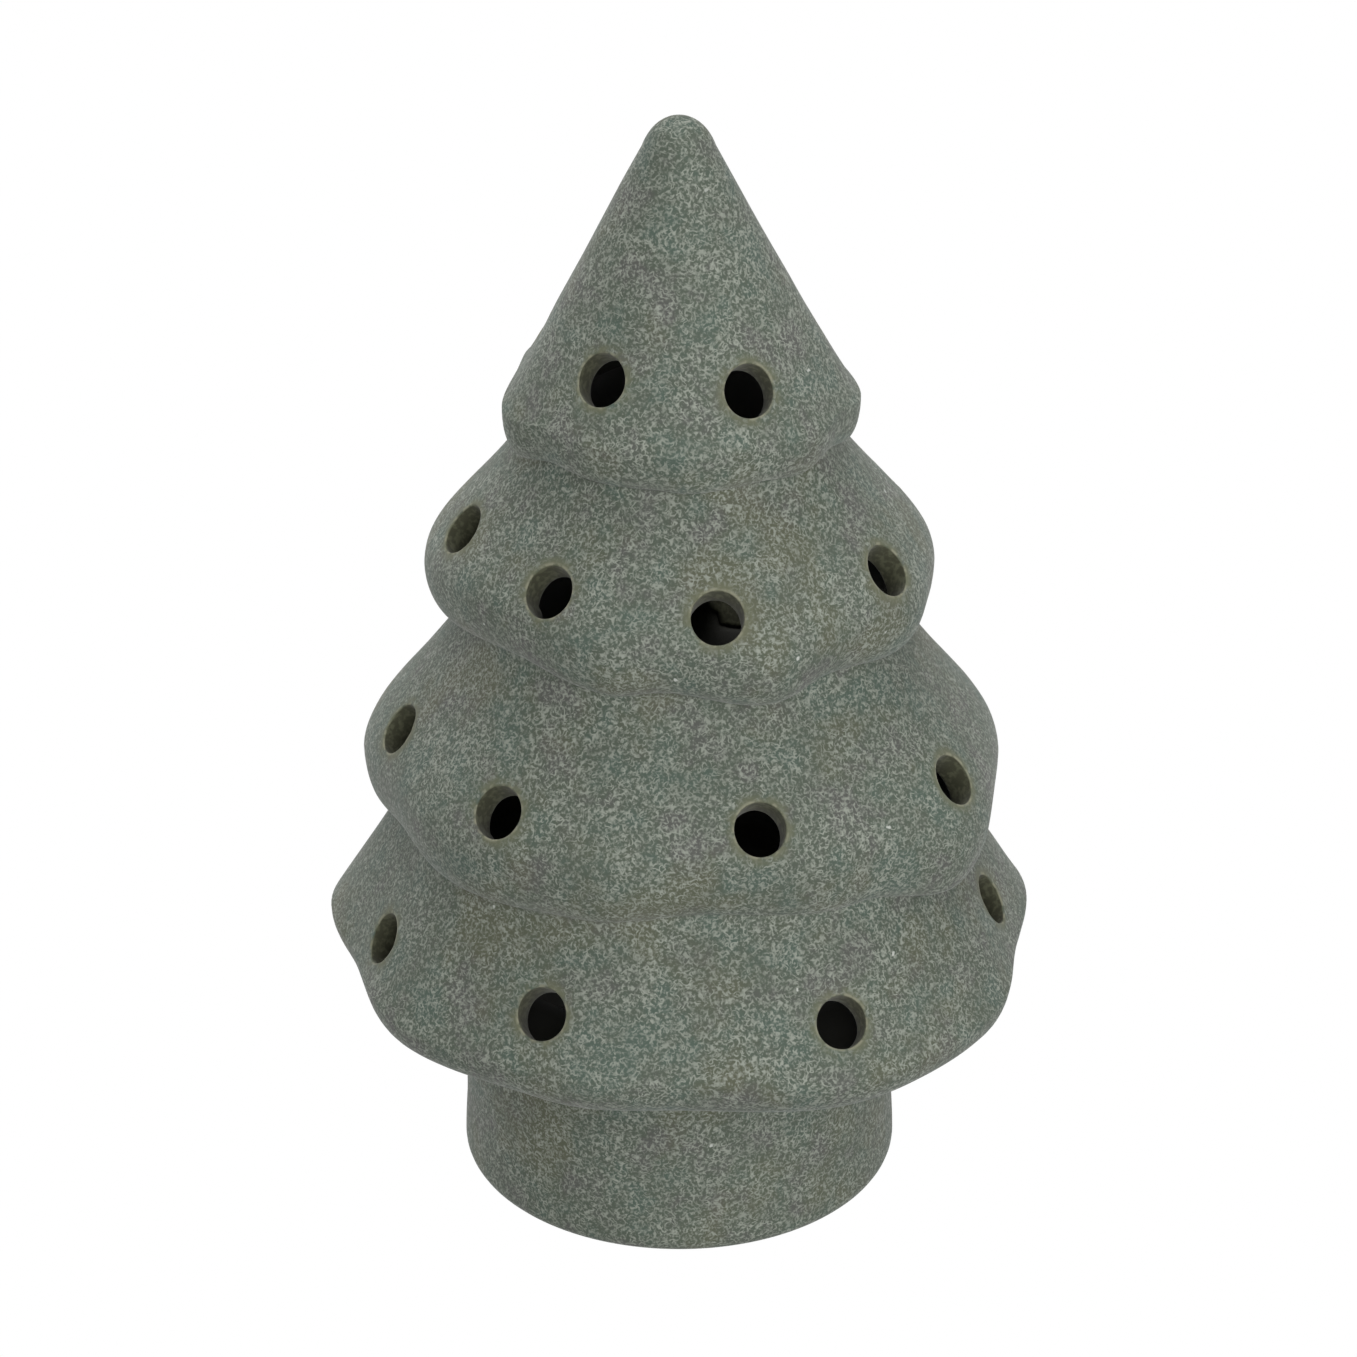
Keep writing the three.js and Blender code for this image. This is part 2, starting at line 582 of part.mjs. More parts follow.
// Battery door: a round lid with a screw ear, and two tongues that hold and turn its far edge
function batteryDoor() {
  const counterbore = DOOR_SCREW_HEAD_RADIUS + SEAT;
  const headTop = PLATE_BOTTOM + DOOR_SCREW_RECESS + DOOR_SCREW_HEAD_HEIGHT;
  const lid = join(
    rod(doorRadius, PLATE_BOTTOM, doorTop, 36, POCKET_X),
    block(span(POCKET_X, EAR_WIDTH), [-earEnd, 0], [PLATE_BOTTOM, doorTop])
      .intersect(rod(plateRadius - 0.8 - SEAT, PLATE_BOTTOM, doorTop, PLATE_SIDES)),
    ...[-1, 1].map((side) => block(
      span(POCKET_X + side * TONGUE_X, TONGUE_WIDTH),
      [0, doorRadius + TONGUE_LENGTH],
      [doorTop - TONGUE_THICKNESS, doorTop],
    )),
  );
  return cut(
    lid,
    block(
      span(POCKET_X, 4 * doorRadius),
      [doorRadius, 2 * doorRadius],
      [PLATE_BOTTOM - 1, doorTop - TONGUE_THICKNESS],
    ),
    rod(counterbore, PLATE_BOTTOM - 1, headTop + SEAT, 16, POCKET_X, -EAR_SCREW_OFFSET),
    rod(DOOR_SCREW_RADIUS + SEAT, PLATE_BOTTOM, doorTop + 1, 16, POCKET_X, -EAR_SCREW_OFFSET),
  );
}

function crossRecess(bottom, top, x, y) {
  return join(
    block(span(x, CROSS_LENGTH), span(y, CROSS_WIDTH), [bottom, top]),
    block(span(x, CROSS_WIDTH), span(y, CROSS_LENGTH), [bottom, top]),
  );
}

function doorScrew() {
  const bottom = PLATE_BOTTOM + DOOR_SCREW_RECESS;
  const y = -EAR_SCREW_OFFSET;
  const tip = bossBottom + DOOR_SCREW_ENGAGEMENT;
  const screw = join(
    rod(DOOR_SCREW_HEAD_RADIUS, bottom, bottom + DOOR_SCREW_HEAD_HEIGHT, 20, POCKET_X, y),
    rod(DOOR_SCREW_RADIUS, bottom, tip, 12, POCKET_X, y),
  );
  return cut(screw, crossRecess(bottom - 1, bottom + CROSS_DEPTH, POCKET_X, y));
}

function boardScrew(side) {
  const seat = boardTop + SEAT;
  const top = seat + BOARD_SCREW_HEAD_HEIGHT;
  const y = side * postY;
  const screw = join(
    rod(BOARD_SCREW_HEAD_RADIUS, seat, top, 20, postX, y),
    rod(BOARD_SCREW_RADIUS, seat - BOARD_SCREW_LENGTH, top, 12, postX, y),
  );
  return cut(screw, crossRecess(top - CROSS_DEPTH, top + 1, postX, y));
}

// Coin cell: the can holds the smaller cap, which faces up
function coinCell() {
  return turned([
    [0, cellBottom],
    [CELL_RADIUS - 0.4, cellBottom],
    [CELL_RADIUS, cellBottom + 0.4],
    [CELL_RADIUS, cellTop - CELL_STEP],
    [CELL_CAP_RADIUS, cellTop - CELL_STEP],
    [CELL_CAP_RADIUS - 0.3, cellTop],
    [0, cellTop],
  ], 36).translate([POCKET_X, 0, 0]);
}

function circuitBoard() {
  const hole = BOARD_SCREW_RADIUS + SEAT;
  return cut(
    rod(boardRadius, boardBottom, boardTop, PLATE_SIDES),
    ...[-1, 1].map((side) => rod(hole, boardBottom - 1, boardTop + 1, 12, postX, side * postY)),
  );
}

function timerChip() {
  const bottom = boardTop + SEAT;
  const pins = [-1.5, -0.5, 0.5, 1.5].flatMap((step) => [-1, 1].map((side) => block(
    span(CHIP_X + 1.27 * step, 0.4),
    side < 0 ? [-CHIP_WIDTH / 2 - 1, 0] : [0, CHIP_WIDTH / 2 + 1],
    [bottom, bottom + 0.3],
  )));
  return join(
    block(span(CHIP_X, CHIP_LENGTH), span(0, CHIP_WIDTH), [bottom, bottom + CHIP_HEIGHT]),
    ...pins,
  );
}

// Positive leaf: stands by the can's side in a notch of the pocket, with a foot on the board
function positiveContact() {
  const x = POCKET_X + CELL_RADIUS + SEAT;
  const top = boardBottom - SEAT;
  const width = span(0, CONTACT_WIDTH);
  return join(
    block([x, x + CONTACT_THICKNESS], width, [cellBottom, top]),
    block([x, x + CONTACT_FOOT], width, [top - CONTACT_THICKNESS, top]),
  );
}

// Negative strip: lies over the pocket and dips to the cap, with a riser to the board
function negativeContact() {
  const reach = pocketRadius + POCKET_WALL - 0.4;
  const riser = [reach - CONTACT_FOOT, reach];
  const dip = rod(DIMPLE_RADIUS, cellTop + SEAT, stripTop, 16, POCKET_X);
  return join(
    block(span(POCKET_X, CONTACT_WIDTH), [-reach + 1, reach], [stripBottom, stripTop]),
    block(span(POCKET_X, CONTACT_WIDTH), riser, [stripBottom, boardBottom - SEAT]),
    dip,
  );
}

function ledLens() {
  const bottom = boardTop + SEAT + LED_LEG_LENGTH + SEAT;
  const crown = bottom + LED_HEIGHT - LED_RADIUS;
  const dome = [1, 2, 3, 4].map((i) => {
    const a = (i * Math.PI) / 8;
    return [i === 4 ? 0 : LED_RADIUS * Math.cos(a), crown + LED_RADIUS * Math.sin(a)];
  });
  return turned([
    [0, bottom],
    [LED_FLANGE_RADIUS, bottom],
    [LED_FLANGE_RADIUS, bottom + LED_FLANGE_HEIGHT],
    [LED_RADIUS, bottom + LED_FLANGE_HEIGHT],
    [LED_RADIUS, crown],
    ...dome,
  ], 20);
}

function ledLeg(side) {
  const bottom = boardTop + SEAT;
  const x = (side * LED_LEG_SPACING) / 2;
  return block(span(x, LED_LEG_SIZE), span(0, LED_LEG_SIZE), [bottom, bottom + LED_LEG_LENGTH]);
}

// Slide switch: an open-bottomed case under the board, and the slider that hangs through the
// plate's slot. At rest the slider is at the off end, towards -Y.
const caseTop = boardBottom - SEAT;
const sliderTop = caseTop - SWITCH_CASE_WALL - SEAT;

function switchCase() {
  const width = SLIDER_WIDTH + 2 * SEAT;
  const length = SLIDER_LENGTH + SWITCH_TRAVEL + 2 * SEAT;
  const bottom = sliderTop - SLIDER_HEIGHT;
  return cut(
    block(
      span(SWITCH_X, width + 2 * SWITCH_CASE_WALL),
      span(0, length + 2 * SWITCH_CASE_WALL),
      [bottom, caseTop],
    ),
    block(span(SWITCH_X, width), span(0, length), [bottom - 1, caseTop - SWITCH_CASE_WALL]),
  );
}

function switchSlider() {
  const y = -SWITCH_TRAVEL / 2;
  const grooves = [-0.75, 0.75].map((step) => block(
    span(SWITCH_X, 2 * STEM_WIDTH),
    span(y + step, GRIP_GROOVE),
    [0, PLATE_BOTTOM - SEAT + GRIP_GROOVE],
  ));
  return cut(
    join(
      block(span(SWITCH_X, SLIDER_WIDTH), span(y, SLIDER_LENGTH), [sliderTop - SLIDER_HEIGHT, sliderTop]),
      block(span(SWITCH_X, STEM_WIDTH), span(y, STEM_LENGTH), [PLATE_BOTTOM - SEAT, sliderTop]),
    ),
    ...grooves,
  );
}

addPiece('tree_shell', treeShell(), finish.glaze);
addPiece('light_housing', lightHousing(), finish.ivory);
addPiece('flame_tip', flameTip(), finish.flame);
addPiece('base_plate', basePlate(), finish.ivory);
addPiece('battery_door', batteryDoor(), finish.ivory);
addPiece('door_screw', doorScrew(), finish.steel);
addPiece('coin_cell', coinCell(), finish.steel);
addPiece('positive_contact', positiveContact(), finish.spring);
addPiece('negative_contact', negativeContact(), finish.spring);
addPiece('circuit_board', circuitBoard(), finish.board);
addPiece('board_screw_left', boardScrew(-1), finish.steel);
addPiece('board_screw_right', boardScrew(1), finish.steel);
addPiece('timer_chip', timerChip(), finish.chip);
addPiece('led_lens', ledLens(), finish.epoxy);
addPiece('led_leg_positive', ledLeg(1), finish.tin);
addPiece('led_leg_negative', ledLeg(-1), finish.tin);
addPiece('switch_case', switchCase(), finish.tin);
addPiece('switch_slider', switchSlider(), finish.knob);

export default tree;
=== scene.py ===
"""A stoneware Christmas tree light house over its battery tealight, dressed for the studio."""

import logging
import math
from collections.abc import Callable, Mapping, Sequence
from dataclasses import dataclass
from enum import Enum
from typing import Any

import bmesh
import bpy
from bmesh.types import BMEdge, BMesh, BMFace, BMVert
from mathutils import Matrix, Quaternion, Vector, noise
from mathutils.bvhtree import BVHTree
from mathutils.geometry import interpolate_bezier
from mathutils.kdtree import KDTree

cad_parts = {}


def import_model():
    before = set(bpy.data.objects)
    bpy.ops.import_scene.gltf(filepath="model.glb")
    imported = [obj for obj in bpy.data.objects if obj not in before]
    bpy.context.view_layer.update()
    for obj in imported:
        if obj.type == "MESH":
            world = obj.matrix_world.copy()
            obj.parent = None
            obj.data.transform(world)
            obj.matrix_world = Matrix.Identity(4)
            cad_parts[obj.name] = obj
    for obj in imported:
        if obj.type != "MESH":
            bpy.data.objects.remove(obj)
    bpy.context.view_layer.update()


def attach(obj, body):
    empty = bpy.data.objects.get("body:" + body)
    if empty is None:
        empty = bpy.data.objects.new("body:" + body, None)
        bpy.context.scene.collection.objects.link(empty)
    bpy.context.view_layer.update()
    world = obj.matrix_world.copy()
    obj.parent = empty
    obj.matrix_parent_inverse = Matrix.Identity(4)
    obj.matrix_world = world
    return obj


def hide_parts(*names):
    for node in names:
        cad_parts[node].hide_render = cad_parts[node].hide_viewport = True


log = logging.getLogger("tree_light")

MM = 0.001
WELD = 0.001
# Degrees between two faces: flat below the first, bevelled and shaded sharp above the others.
FLAT_UNDER = 1.0
BEVEL_OVER = 30.0
SHARP_OVER = 40.0
Pair = tuple[float, float]
Triple = tuple[float, float, float]
Colour = Triple


class Side(Enum):
    """The side of the stoneware wall that a ring of the outline lies on."""

    OUTER = 0
    INNER = 1


class Body(Enum):
    """The moving bodies of the object."""

    LIGHT = "light_unit"
    TREE = "tree"
    DOOR = "battery_door"
    SWITCH = "switch"


def smooth_step(low: float, high: float, value: float) -> float:
    """Ease a value from 0 at low to 1 at high, which may be the lower of the two."""
    share = min(max((value - low) / (high - low), 0.0), 1.0)
    return share * share * (3.0 - 2.0 * share)


def around(radius: float, height: float, azimuth: float) -> Vector:
    """Point round the axis; the azimuth is in degrees, 0 in front, positive to the right."""
    turn = math.radians(azimuth)
    return Vector((radius * math.sin(turn), -radius * math.cos(turn), height))


def azimuth_of(point: Vector) -> float:
    """Degrees round the axis, 0 at the front and positive to the right."""
    return math.degrees(math.atan2(point.x, -point.y))


def outwards(point: Vector) -> Vector:
    """Level unit direction from the axis through a point."""
    return Vector((point.x, point.y, 0.0)).normalized()


def arithmetic(operation: str, reflected: bool = False) -> Callable[["Wire", Any], "Wire"]:
    """Make a method of Wire that adds a Math node.

    Args:
        operation: The node's operation.
        reflected: Whether the wire is the node's second value.

    Returns:
        The method.
    """
    def method(wire: "Wire", other: Any) -> "Wire":
        """Add the operation's node between two values."""
        values = (other, wire) if reflected else (wire, other)
        return wire.sheet.node("ShaderNodeMath", dict(enumerate(values)), operation=operation)
    return method


class Wire:
    """A shader socket that takes part in ordinary arithmetic."""

    __add__, __radd__ = arithmetic("ADD"), arithmetic("ADD", reflected=True)
    __sub__, __rsub__ = arithmetic("SUBTRACT"), arithmetic("SUBTRACT", reflected=True)
    __mul__, __rmul__ = arithmetic("MULTIPLY"), arithmetic("MULTIPLY", reflected=True)
    max = arithmetic("MAXIMUM")

    def __init__(self, sheet: "ShaderSheet", socket: bpy.types.NodeSocket) -> None:
        """Keep the sheet that the socket's node stands on."""
        self.sheet = sheet
        self.socket = socket

    def __abs__(self) -> "Wire":
        """Take the absolute value."""
        return self.sheet.node("ShaderNodeMath", {0: self, 1: 0.0}, operation="ABSOLUTE")

    def over(self, low: float, high: float) -> "Wire":
        """Mask that eases from 0 at low to 1 at high, which may be the lower of the two."""
        limits = {"Value": self, "From Min": low, "From Max": high}
        return self.sheet.node("ShaderNodeMapRange", limits, interpolation_type="SMOOTHSTEP")

    def output(self, name: str) -> "Wire":
        """Another output of the same node."""
        return Wire(self.sheet, self.socket.node.outputs[name])

    def red(self) -> "Wire":
        """The red part of a colour."""
        return self.sheet.node("ShaderNodeSeparateColor", {"Color": self}, "Red")


class ShaderSheet:
    """A node tree that is written as expressions."""

    def __init__(self, owner: bpy.types.Material | bpy.types.World) -> None:
        """Clear the owner's node tree.

        Args:
            owner: The material or world that the sheet fills.
        """
        self.owner = owner
        owner.use_nodes = True
        self.tree = owner.node_tree
        self.tree.nodes.clear()

    @classmethod
    def material(cls, name: str) -> "ShaderSheet":
        """Start an empty material of that name."""
        return cls(bpy.data.materials.new(name))

    def node(self, kind: str, sockets: Mapping[Any, Any] | None = None, output: str | int = 0,
             **settings: Any) -> Wire:
        """Add a node.

        Args:
            kind: The node's type.
            sockets: Values or wires by socket name or number.
            output: Name or number of the output that is wanted.
            settings: The node's own settings, which are set before its sockets.

        Returns:
            The wire of that output, or of an end node's first input.
        """
        made = self.tree.nodes.new(kind)
        for key, value in settings.items():
            setattr(made, key, value)
        for key, value in (sockets or {}).items():
            socket = made.inputs[key]
            if isinstance(value, Wire):
                self.tree.links.new(value.socket, socket)
            elif socket.type == "RGBA" and len(value) == 3:
                socket.default_value = (*value, 1.0)
            else:
                socket.default_value = value
        return Wire(self, made.outputs[output] if made.outputs else made.inputs[0])

    def place(self) -> Wire:
        """Object coordinates, in metres."""
        return self.node("ShaderNodeTexCoord", output="Object")

    def noise(self, at: Wire, grain: float, detail: float = 2.0, roughness: float = 0.5,
              output: str = "Fac") -> Wire:
        """Noise of about 0.5 with features of grain metres; its Color holds three values."""
        sockets = {"Vector": at, "Scale": 1.0 / grain, "Detail": detail, "Roughness": roughness}
        return self.node("ShaderNodeTexNoise", sockets, output)

    def cells(self, at: Wire, pitch: float) -> Wire:
        """Distance to scattered points, in pitches; its output Color tells them apart."""
        sockets = {"Vector": at, "Scale": 1.0 / pitch}
        return self.node("ShaderNodeTexVoronoi", sockets, "Distance", feature="F1")

    def bent(self, at: Wire, grain: float, reach: float) -> Wire:
        """Coordinates warped by up to reach metres, in waves of grain metres."""
        sockets = {0: self.noise(at, grain, 1.0, output="Color"), 1: (reach, reach, reach), 2: at}
        return self.node("ShaderNodeVectorMath", sockets, operation="MULTIPLY_ADD")

    def mix(self, share: Wire | float, first: Any, second: Any) -> Wire:
        """Colour that is the first at share 0 and the second at share 1."""
        return self.node("ShaderNodeMix", {0: share, 6: first, 7: second}, 2, data_type="RGBA")

    def bump(self, height: Wire, distance: float, strength: float = 1.0) -> Wire:
        """Normal bent by a height, of which 1 measures distance metres."""
        sockets = {"Height": height, "Distance": distance, "Strength": strength}
        return self.node("ShaderNodeBump", sockets, "Normal")

    def mark(self, name: str) -> Wire:
        """Read one of the mesh's own marks, from 0 to 1."""
        return self.node("ShaderNodeAttribute", output="Fac", attribute_name=name)

    def surface(self, sockets: Mapping[str, Any]) -> bpy.types.Material:
        """Close the sheet with a surface shader.

        Args:
            sockets: Values and wires of the shader's sockets.

        Returns:
            The finished material.
        """
        shader = self.node("ShaderNodeBsdfPrincipled", sockets)
        self.node("ShaderNodeOutputMaterial", {"Surface": shader})
        return self.owner


@dataclass(frozen=True)
class StonewareGlaze:
    """Matt sage glaze, flecked with short pale squiggles, that breaks pale over edges; the hem
    ridges also carry a painted highlight, and the holes' tunnels and the inside carry painted
    shade.
    """

    sage: Colour = (0.080, 0.098, 0.074)
    teal: Colour = (0.072, 0.102, 0.081)
    olive: Colour = (0.098, 0.102, 0.064)
    slate: Colour = (0.089, 0.092, 0.083)
    fleck: Colour = (0.285, 0.308, 0.262)
    spark: Colour = (0.480, 0.500, 0.460)
    # Hem ridge colour: pale glaze break plus a painted highlight.
    ridge_break_and_highlight: Colour = (0.255, 0.268, 0.240)
    lip_tone: Colour = (0.290, 0.285, 0.205)
    pooled: Colour = (0.128, 0.134, 0.082)
    # Tunnel colour: painted shade down the holes, patched with pooled glaze.
    tunnel: Colour = (0.048, 0.049, 0.028)
    # Near-black inside: painted shade over the same glaze as outside.
    inner: Colour = (0.022, 0.022, 0.017)
    clay: Colour = (0.330, 0.255, 0.180)
    fleck_pitch: float = 0.65 * MM
    patch: float = 15.0 * MM
    foot_line: float = 0.45 * MM
    roughness: float = 0.80

    def make(self) -> bpy.types.Material:
        """Build the glaze.

        Returns:
            The material.
        """
        sheet = ShaderSheet.material("stoneware_glaze")
        at = sheet.place()
        halo = sheet.mark("halo") * sheet.noise(at, 2.2 * MM).over(0.30, 0.58)
        calm = halo.max(sheet.mark("lip")).max(sheet.mark("inside"))
        flecks = self.flecks(sheet, at) * (1.0 - calm * 0.92)
        spark = sheet.cells(sheet.bent(at, 0.8 * MM, 0.8 * MM), 6.0 * MM)
        sparks = spark.over(0.060, 0.035) * spark.output("Color").red().over(0.62, 0.66)
        # Breaks up the hem ridges' pale glaze and painted highlight.
        rubbed_and_highlit = sheet.noise(at, 8.0 * MM).over(0.40, 0.62) * 0.4 + 0.1
        worn = sheet.noise(at, 1.2 * MM).over(0.40, 0.62) * 0.7
        dust = sheet.noise(at, 0.8 * MM).over(0.42, 0.66) * 0.5
        height = sheet.node("ShaderNodeSeparateXYZ", {0: at}, "Z")
        colour = self.ground(sheet, at, halo)
        for share, tone in (
            (flecks, self.fleck),
            (sparks, self.spark),
            # Hem ridges: pale glaze break plus a painted highlight.
            (sheet.mark("ridge") * rubbed_and_highlit, self.ridge_break_and_highlight),
            (sheet.mark("lip") * worn, self.lip_tone),
            # Inside: painted shade.
            (sheet.mark("inside"), self.inner),
            # Tunnels: painted shade, patched with pooled glaze.
            (sheet.mark("tunnel"), sheet.mix(dust, self.tunnel, self.pooled)),
            (height.over(self.foot_line, 0.4 * self.foot_line), self.clay),
        ):
            colour = sheet.mix(share, colour, tone)
        grain = sheet.noise(at, 0.30 * MM)
        return sheet.surface({
            "Base Color": colour,
            "Roughness": self.roughness - flecks * 0.10,
            "Specular IOR Level": 0.30,
            "Sheen Weight": 0.14,
            "Sheen Roughness": 0.45,
            "Normal": sheet.bump(flecks * 0.5 + grain * 0.5, 0.045 * MM, 0.6),
        })

    def ground(self, sheet: ShaderSheet, at: Wire, halo: Wire) -> Wire:
        """Drift the ground colour between sage, teal, slate and olive.

        Args:
            sheet: The material's sheet.
            at: Object coordinates.
            halo: Nearness to a light hole.

        Returns:
            The colour under the flecks.
        """
        warm = sheet.noise(at, self.patch, 3.0, 0.6)
        cool = sheet.noise(at, 0.45 * self.patch, 3.0, 0.65)
        colour = sheet.mix(cool.over(0.48, 0.66), self.sage, self.teal)
        colour = sheet.mix(cool.over(0.50, 0.32), colour, self.slate)
        colour = sheet.mix(warm.over(0.50, 0.68) * 0.75, colour, self.olive)
        return sheet.mix(halo * 0.8, colour, self.pooled)

    def flecks(self, sheet: ShaderSheet, at: Wire) -> Wire:
        """Scatter the squiggles and specks.

        Args:
            sheet: The material's sheet.
            at: Object coordinates.

        Returns:
            Their mask from 0 to 1.
        """
        pitch = self.fleck_pitch
        bent = sheet.bent(at, 1.4 * pitch, 1.2 * pitch)
        worm = abs(sheet.noise(bent, pitch, 0.0) - 0.5).over(0.16, 0.02)
        broken = sheet.noise(at, 1.1 * pitch, 1.0).over(0.38, 0.62)
        specks = sheet.noise(at, 0.6 * pitch, 1.0).over(0.46, 0.74) * 0.75
        crowd = sheet.noise(at, 6.0 * MM).over(0.25, 0.65) * 0.35 + 0.65
        return (worm * broken).max(specks) * crowd


@dataclass(frozen=True)
class MouldedPlastic:
    """Moulded plastic with a fine spark-eroded texture and faint flow marks."""

    name: str
    colour: Colour
    roughness: float = 0.42
    translucency: float = 0.0
    grain: float = 0.16 * MM
    relief: float = 0.010 * MM

    def make(self) -> bpy.types.Material:
        """Build the plastic.

        Returns:
            The material.
        """
        sheet = ShaderSheet.material(self.name)
        at = sheet.place()
        flow = sheet.noise(at, 7.0 * MM, 3.0)
        grain = sheet.noise(at, self.grain)
        darker = tuple(0.94 * part for part in self.colour)
        return sheet.surface({
            "Base Color": sheet.mix(flow.over(0.35, 0.7), self.colour, darker),
            "Roughness": self.roughness + grain * 0.12,
            "Subsurface Weight": self.translucency,
            "Subsurface Radius": (0.004, 0.0026, 0.0014),
            "Subsurface Scale": 1.0,
            "Normal": sheet.bump(grain, self.relief, 0.6),
        })


@dataclass(frozen=True)
class PlatedMetal:
    """Rolled or turned metal with fine drawn lines and a little tarnish."""

    name: str
    colour: Colour
    tarnish: Colour
    roughness: float = 0.26
    lines_along: Triple = (1.0, 1.0, 0.08)

    def make(self) -> bpy.types.Material:
        """Build the metal.

        Returns:
            The material.
        """
        sheet = ShaderSheet.material(self.name)
        at = sheet.place()
        drawn = sheet.node("ShaderNodeMapping", {"Vector": at, "Scale": self.lines_along})
        lines = sheet.noise(drawn, 0.12 * MM, 3.0)
        stain = sheet.noise(at, 2.5 * MM, 4.0, 0.6).over(0.5, 0.8)
        return sheet.surface({
            "Base Color": sheet.mix(stain * 0.6, self.colour, self.tarnish),
            "Metallic": 1.0,
            "Roughness": self.roughness + lines * 0.15 + stain * 0.12,
            "Normal": sheet.bump(lines, 0.006 * MM, 0.4),
        })


@dataclass(frozen=True)
class BoardLacquer:
    """Green solder lacquer over copper tracks."""

    green: Colour = (0.018, 0.095, 0.042)
    track: Colour = (0.036, 0.165, 0.068)
    pitch: float = 1.27 * MM

    def make(self) -> bpy.types.Material:
        """Build the lacquer.

        Returns:
            The material.
        """
        sheet = ShaderSheet.material("board_lacquer")
        at = sheet.place()
        sockets = {"Vector": at, "Scale": 0.16 / self.pitch, "Distortion": 1.5, "Detail": 0.0}
        tracks = sheet.node("ShaderNodeTexWave", sockets, "Fac", bands_direction="Y")
        tracks = tracks.over(0.50, 0.62)
        weave = sheet.noise(at, 0.3 * MM, 1.0)
        return sheet.surface({
            "Base Color": sheet.mix(tracks, self.green, self.track),
            "Roughness": 0.30 + weave * 0.14,
            "Normal": sheet.bump(tracks + weave * 0.2, 0.03 * MM, 0.6),
        })


@dataclass(frozen=True)
class AmberEpoxy:
    """Clear amber-tinted casting resin of the light source."""

    colour: Colour = (0.90, 0.60, 0.28)

    def make(self) -> bpy.types.Material:
        """Build the resin.

        Returns:
            The material.
        """
        sheet = ShaderSheet.material("amber_epoxy")
        at = sheet.place()
        cloud = sheet.noise(at, 1.5 * MM)
        deeper = tuple(0.85 * part for part in self.colour)
        return sheet.surface({
            "Base Color": sheet.mix(cloud, self.colour, deeper),
            "Roughness": 0.05 + cloud * 0.06,
            "IOR": 1.54,
            "Transmission Weight": 0.75,
        })


def add_marks(layers: Any, *names: str) -> list[Any]:
    """Add layers of marks to a bmesh's vertices.

    Args:
        layers: The vertices' layers of one type.
        names: The marks' names.

    Returns:
        The marks, read once all are there.
    """
    for name in names:
        layers.new(name)
    return [layers[name] for name in names]


def add_object(name: str, data: bpy.types.ID) -> bpy.types.Object:
    """Make an object of some data and link it into the scene.

    Args:
        name: The object's name.
        data: Its mesh, camera or lamp.

    Returns:
        The object.
    """
    made = bpy.data.objects.new(name, data)
    bpy.context.scene.collection.objects.link(made)
    return made


def finish_piece(bm: BMesh, name: str, material: bpy.types.Material,
                 sharp_over: float = 180.0) -> bpy.types.Object:
    """Turn a shape in millimetres into a smooth-shaded object in metres.

    Args:
        bm: The shape, which is freed.
        name: The piece's name.
        material: Its finish.
        sharp_over: Angle in degrees above which an edge is shaded sharp.

    Returns:
        The new object.
    """
    bmesh.ops.scale(bm, vec=(MM, MM, MM), verts=bm.verts)
    for face in bm.faces:
        face.smooth = True
    limit = math.radians(sharp_over)
    for edge in bm.edges:
        edge.smooth = not (edge.is_manifold and edge.calc_face_angle() > limit)
    mesh = bpy.data.meshes.new(name)
    bm.to_mesh(mesh)
    bm.free()
    mesh.materials.append(material)
    return add_object(name, mesh)


def settle(piece: bpy.types.Object, body: Body, node: str) -> None:
    """Tie a finished piece to its body and the node it stands for.

    Args:
        piece: The piece.
        body: The body that it rides on.
        node: The node that it replaces.
    """
    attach(piece, body.value)
    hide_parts(node)
    log.info("%s rides on %s, %d faces", piece.name, body.value, len(piece.data.polygons))


def quarter_arc(steps: int) -> list[Pair]:
    """What is left to 1 of the sine and of the cosine, in steps from 0 to 90 degrees."""
    turns = [math.radians(90.0 * i / steps) for i in range(steps + 1)]
    return [(1.0 - math.sin(turn), 1.0 - math.cos(turn)) for turn in turns]


def spin_line(bm: BMesh, line: Sequence[BMVert], columns: int,
              closed: bool = False) -> None:
    """Turn a line of vertices once round the upright axis and weld the result.

    Args:
        bm: The bmesh that holds the line.
        line: Its vertices in order.
        columns: Number of columns.
        closed: Whether the line is a closed loop.
    """
    ends = list(line[1:]) + ([line[0]] if closed else [])
    edges = [bm.edges.new(pair) for pair in zip(line, ends)]
    bmesh.ops.spin(bm, geom=list(line) + edges, cent=(0, 0, 0), axis=(0, 0, 1), dvec=(0, 0, 0),
                   angle=math.tau, steps=columns, use_merge=True, use_duplicate=False)
    bmesh.ops.remove_doubles(bm, verts=bm.verts, dist=WELD)
    bmesh.ops.recalc_face_normals(bm, faces=bm.faces)


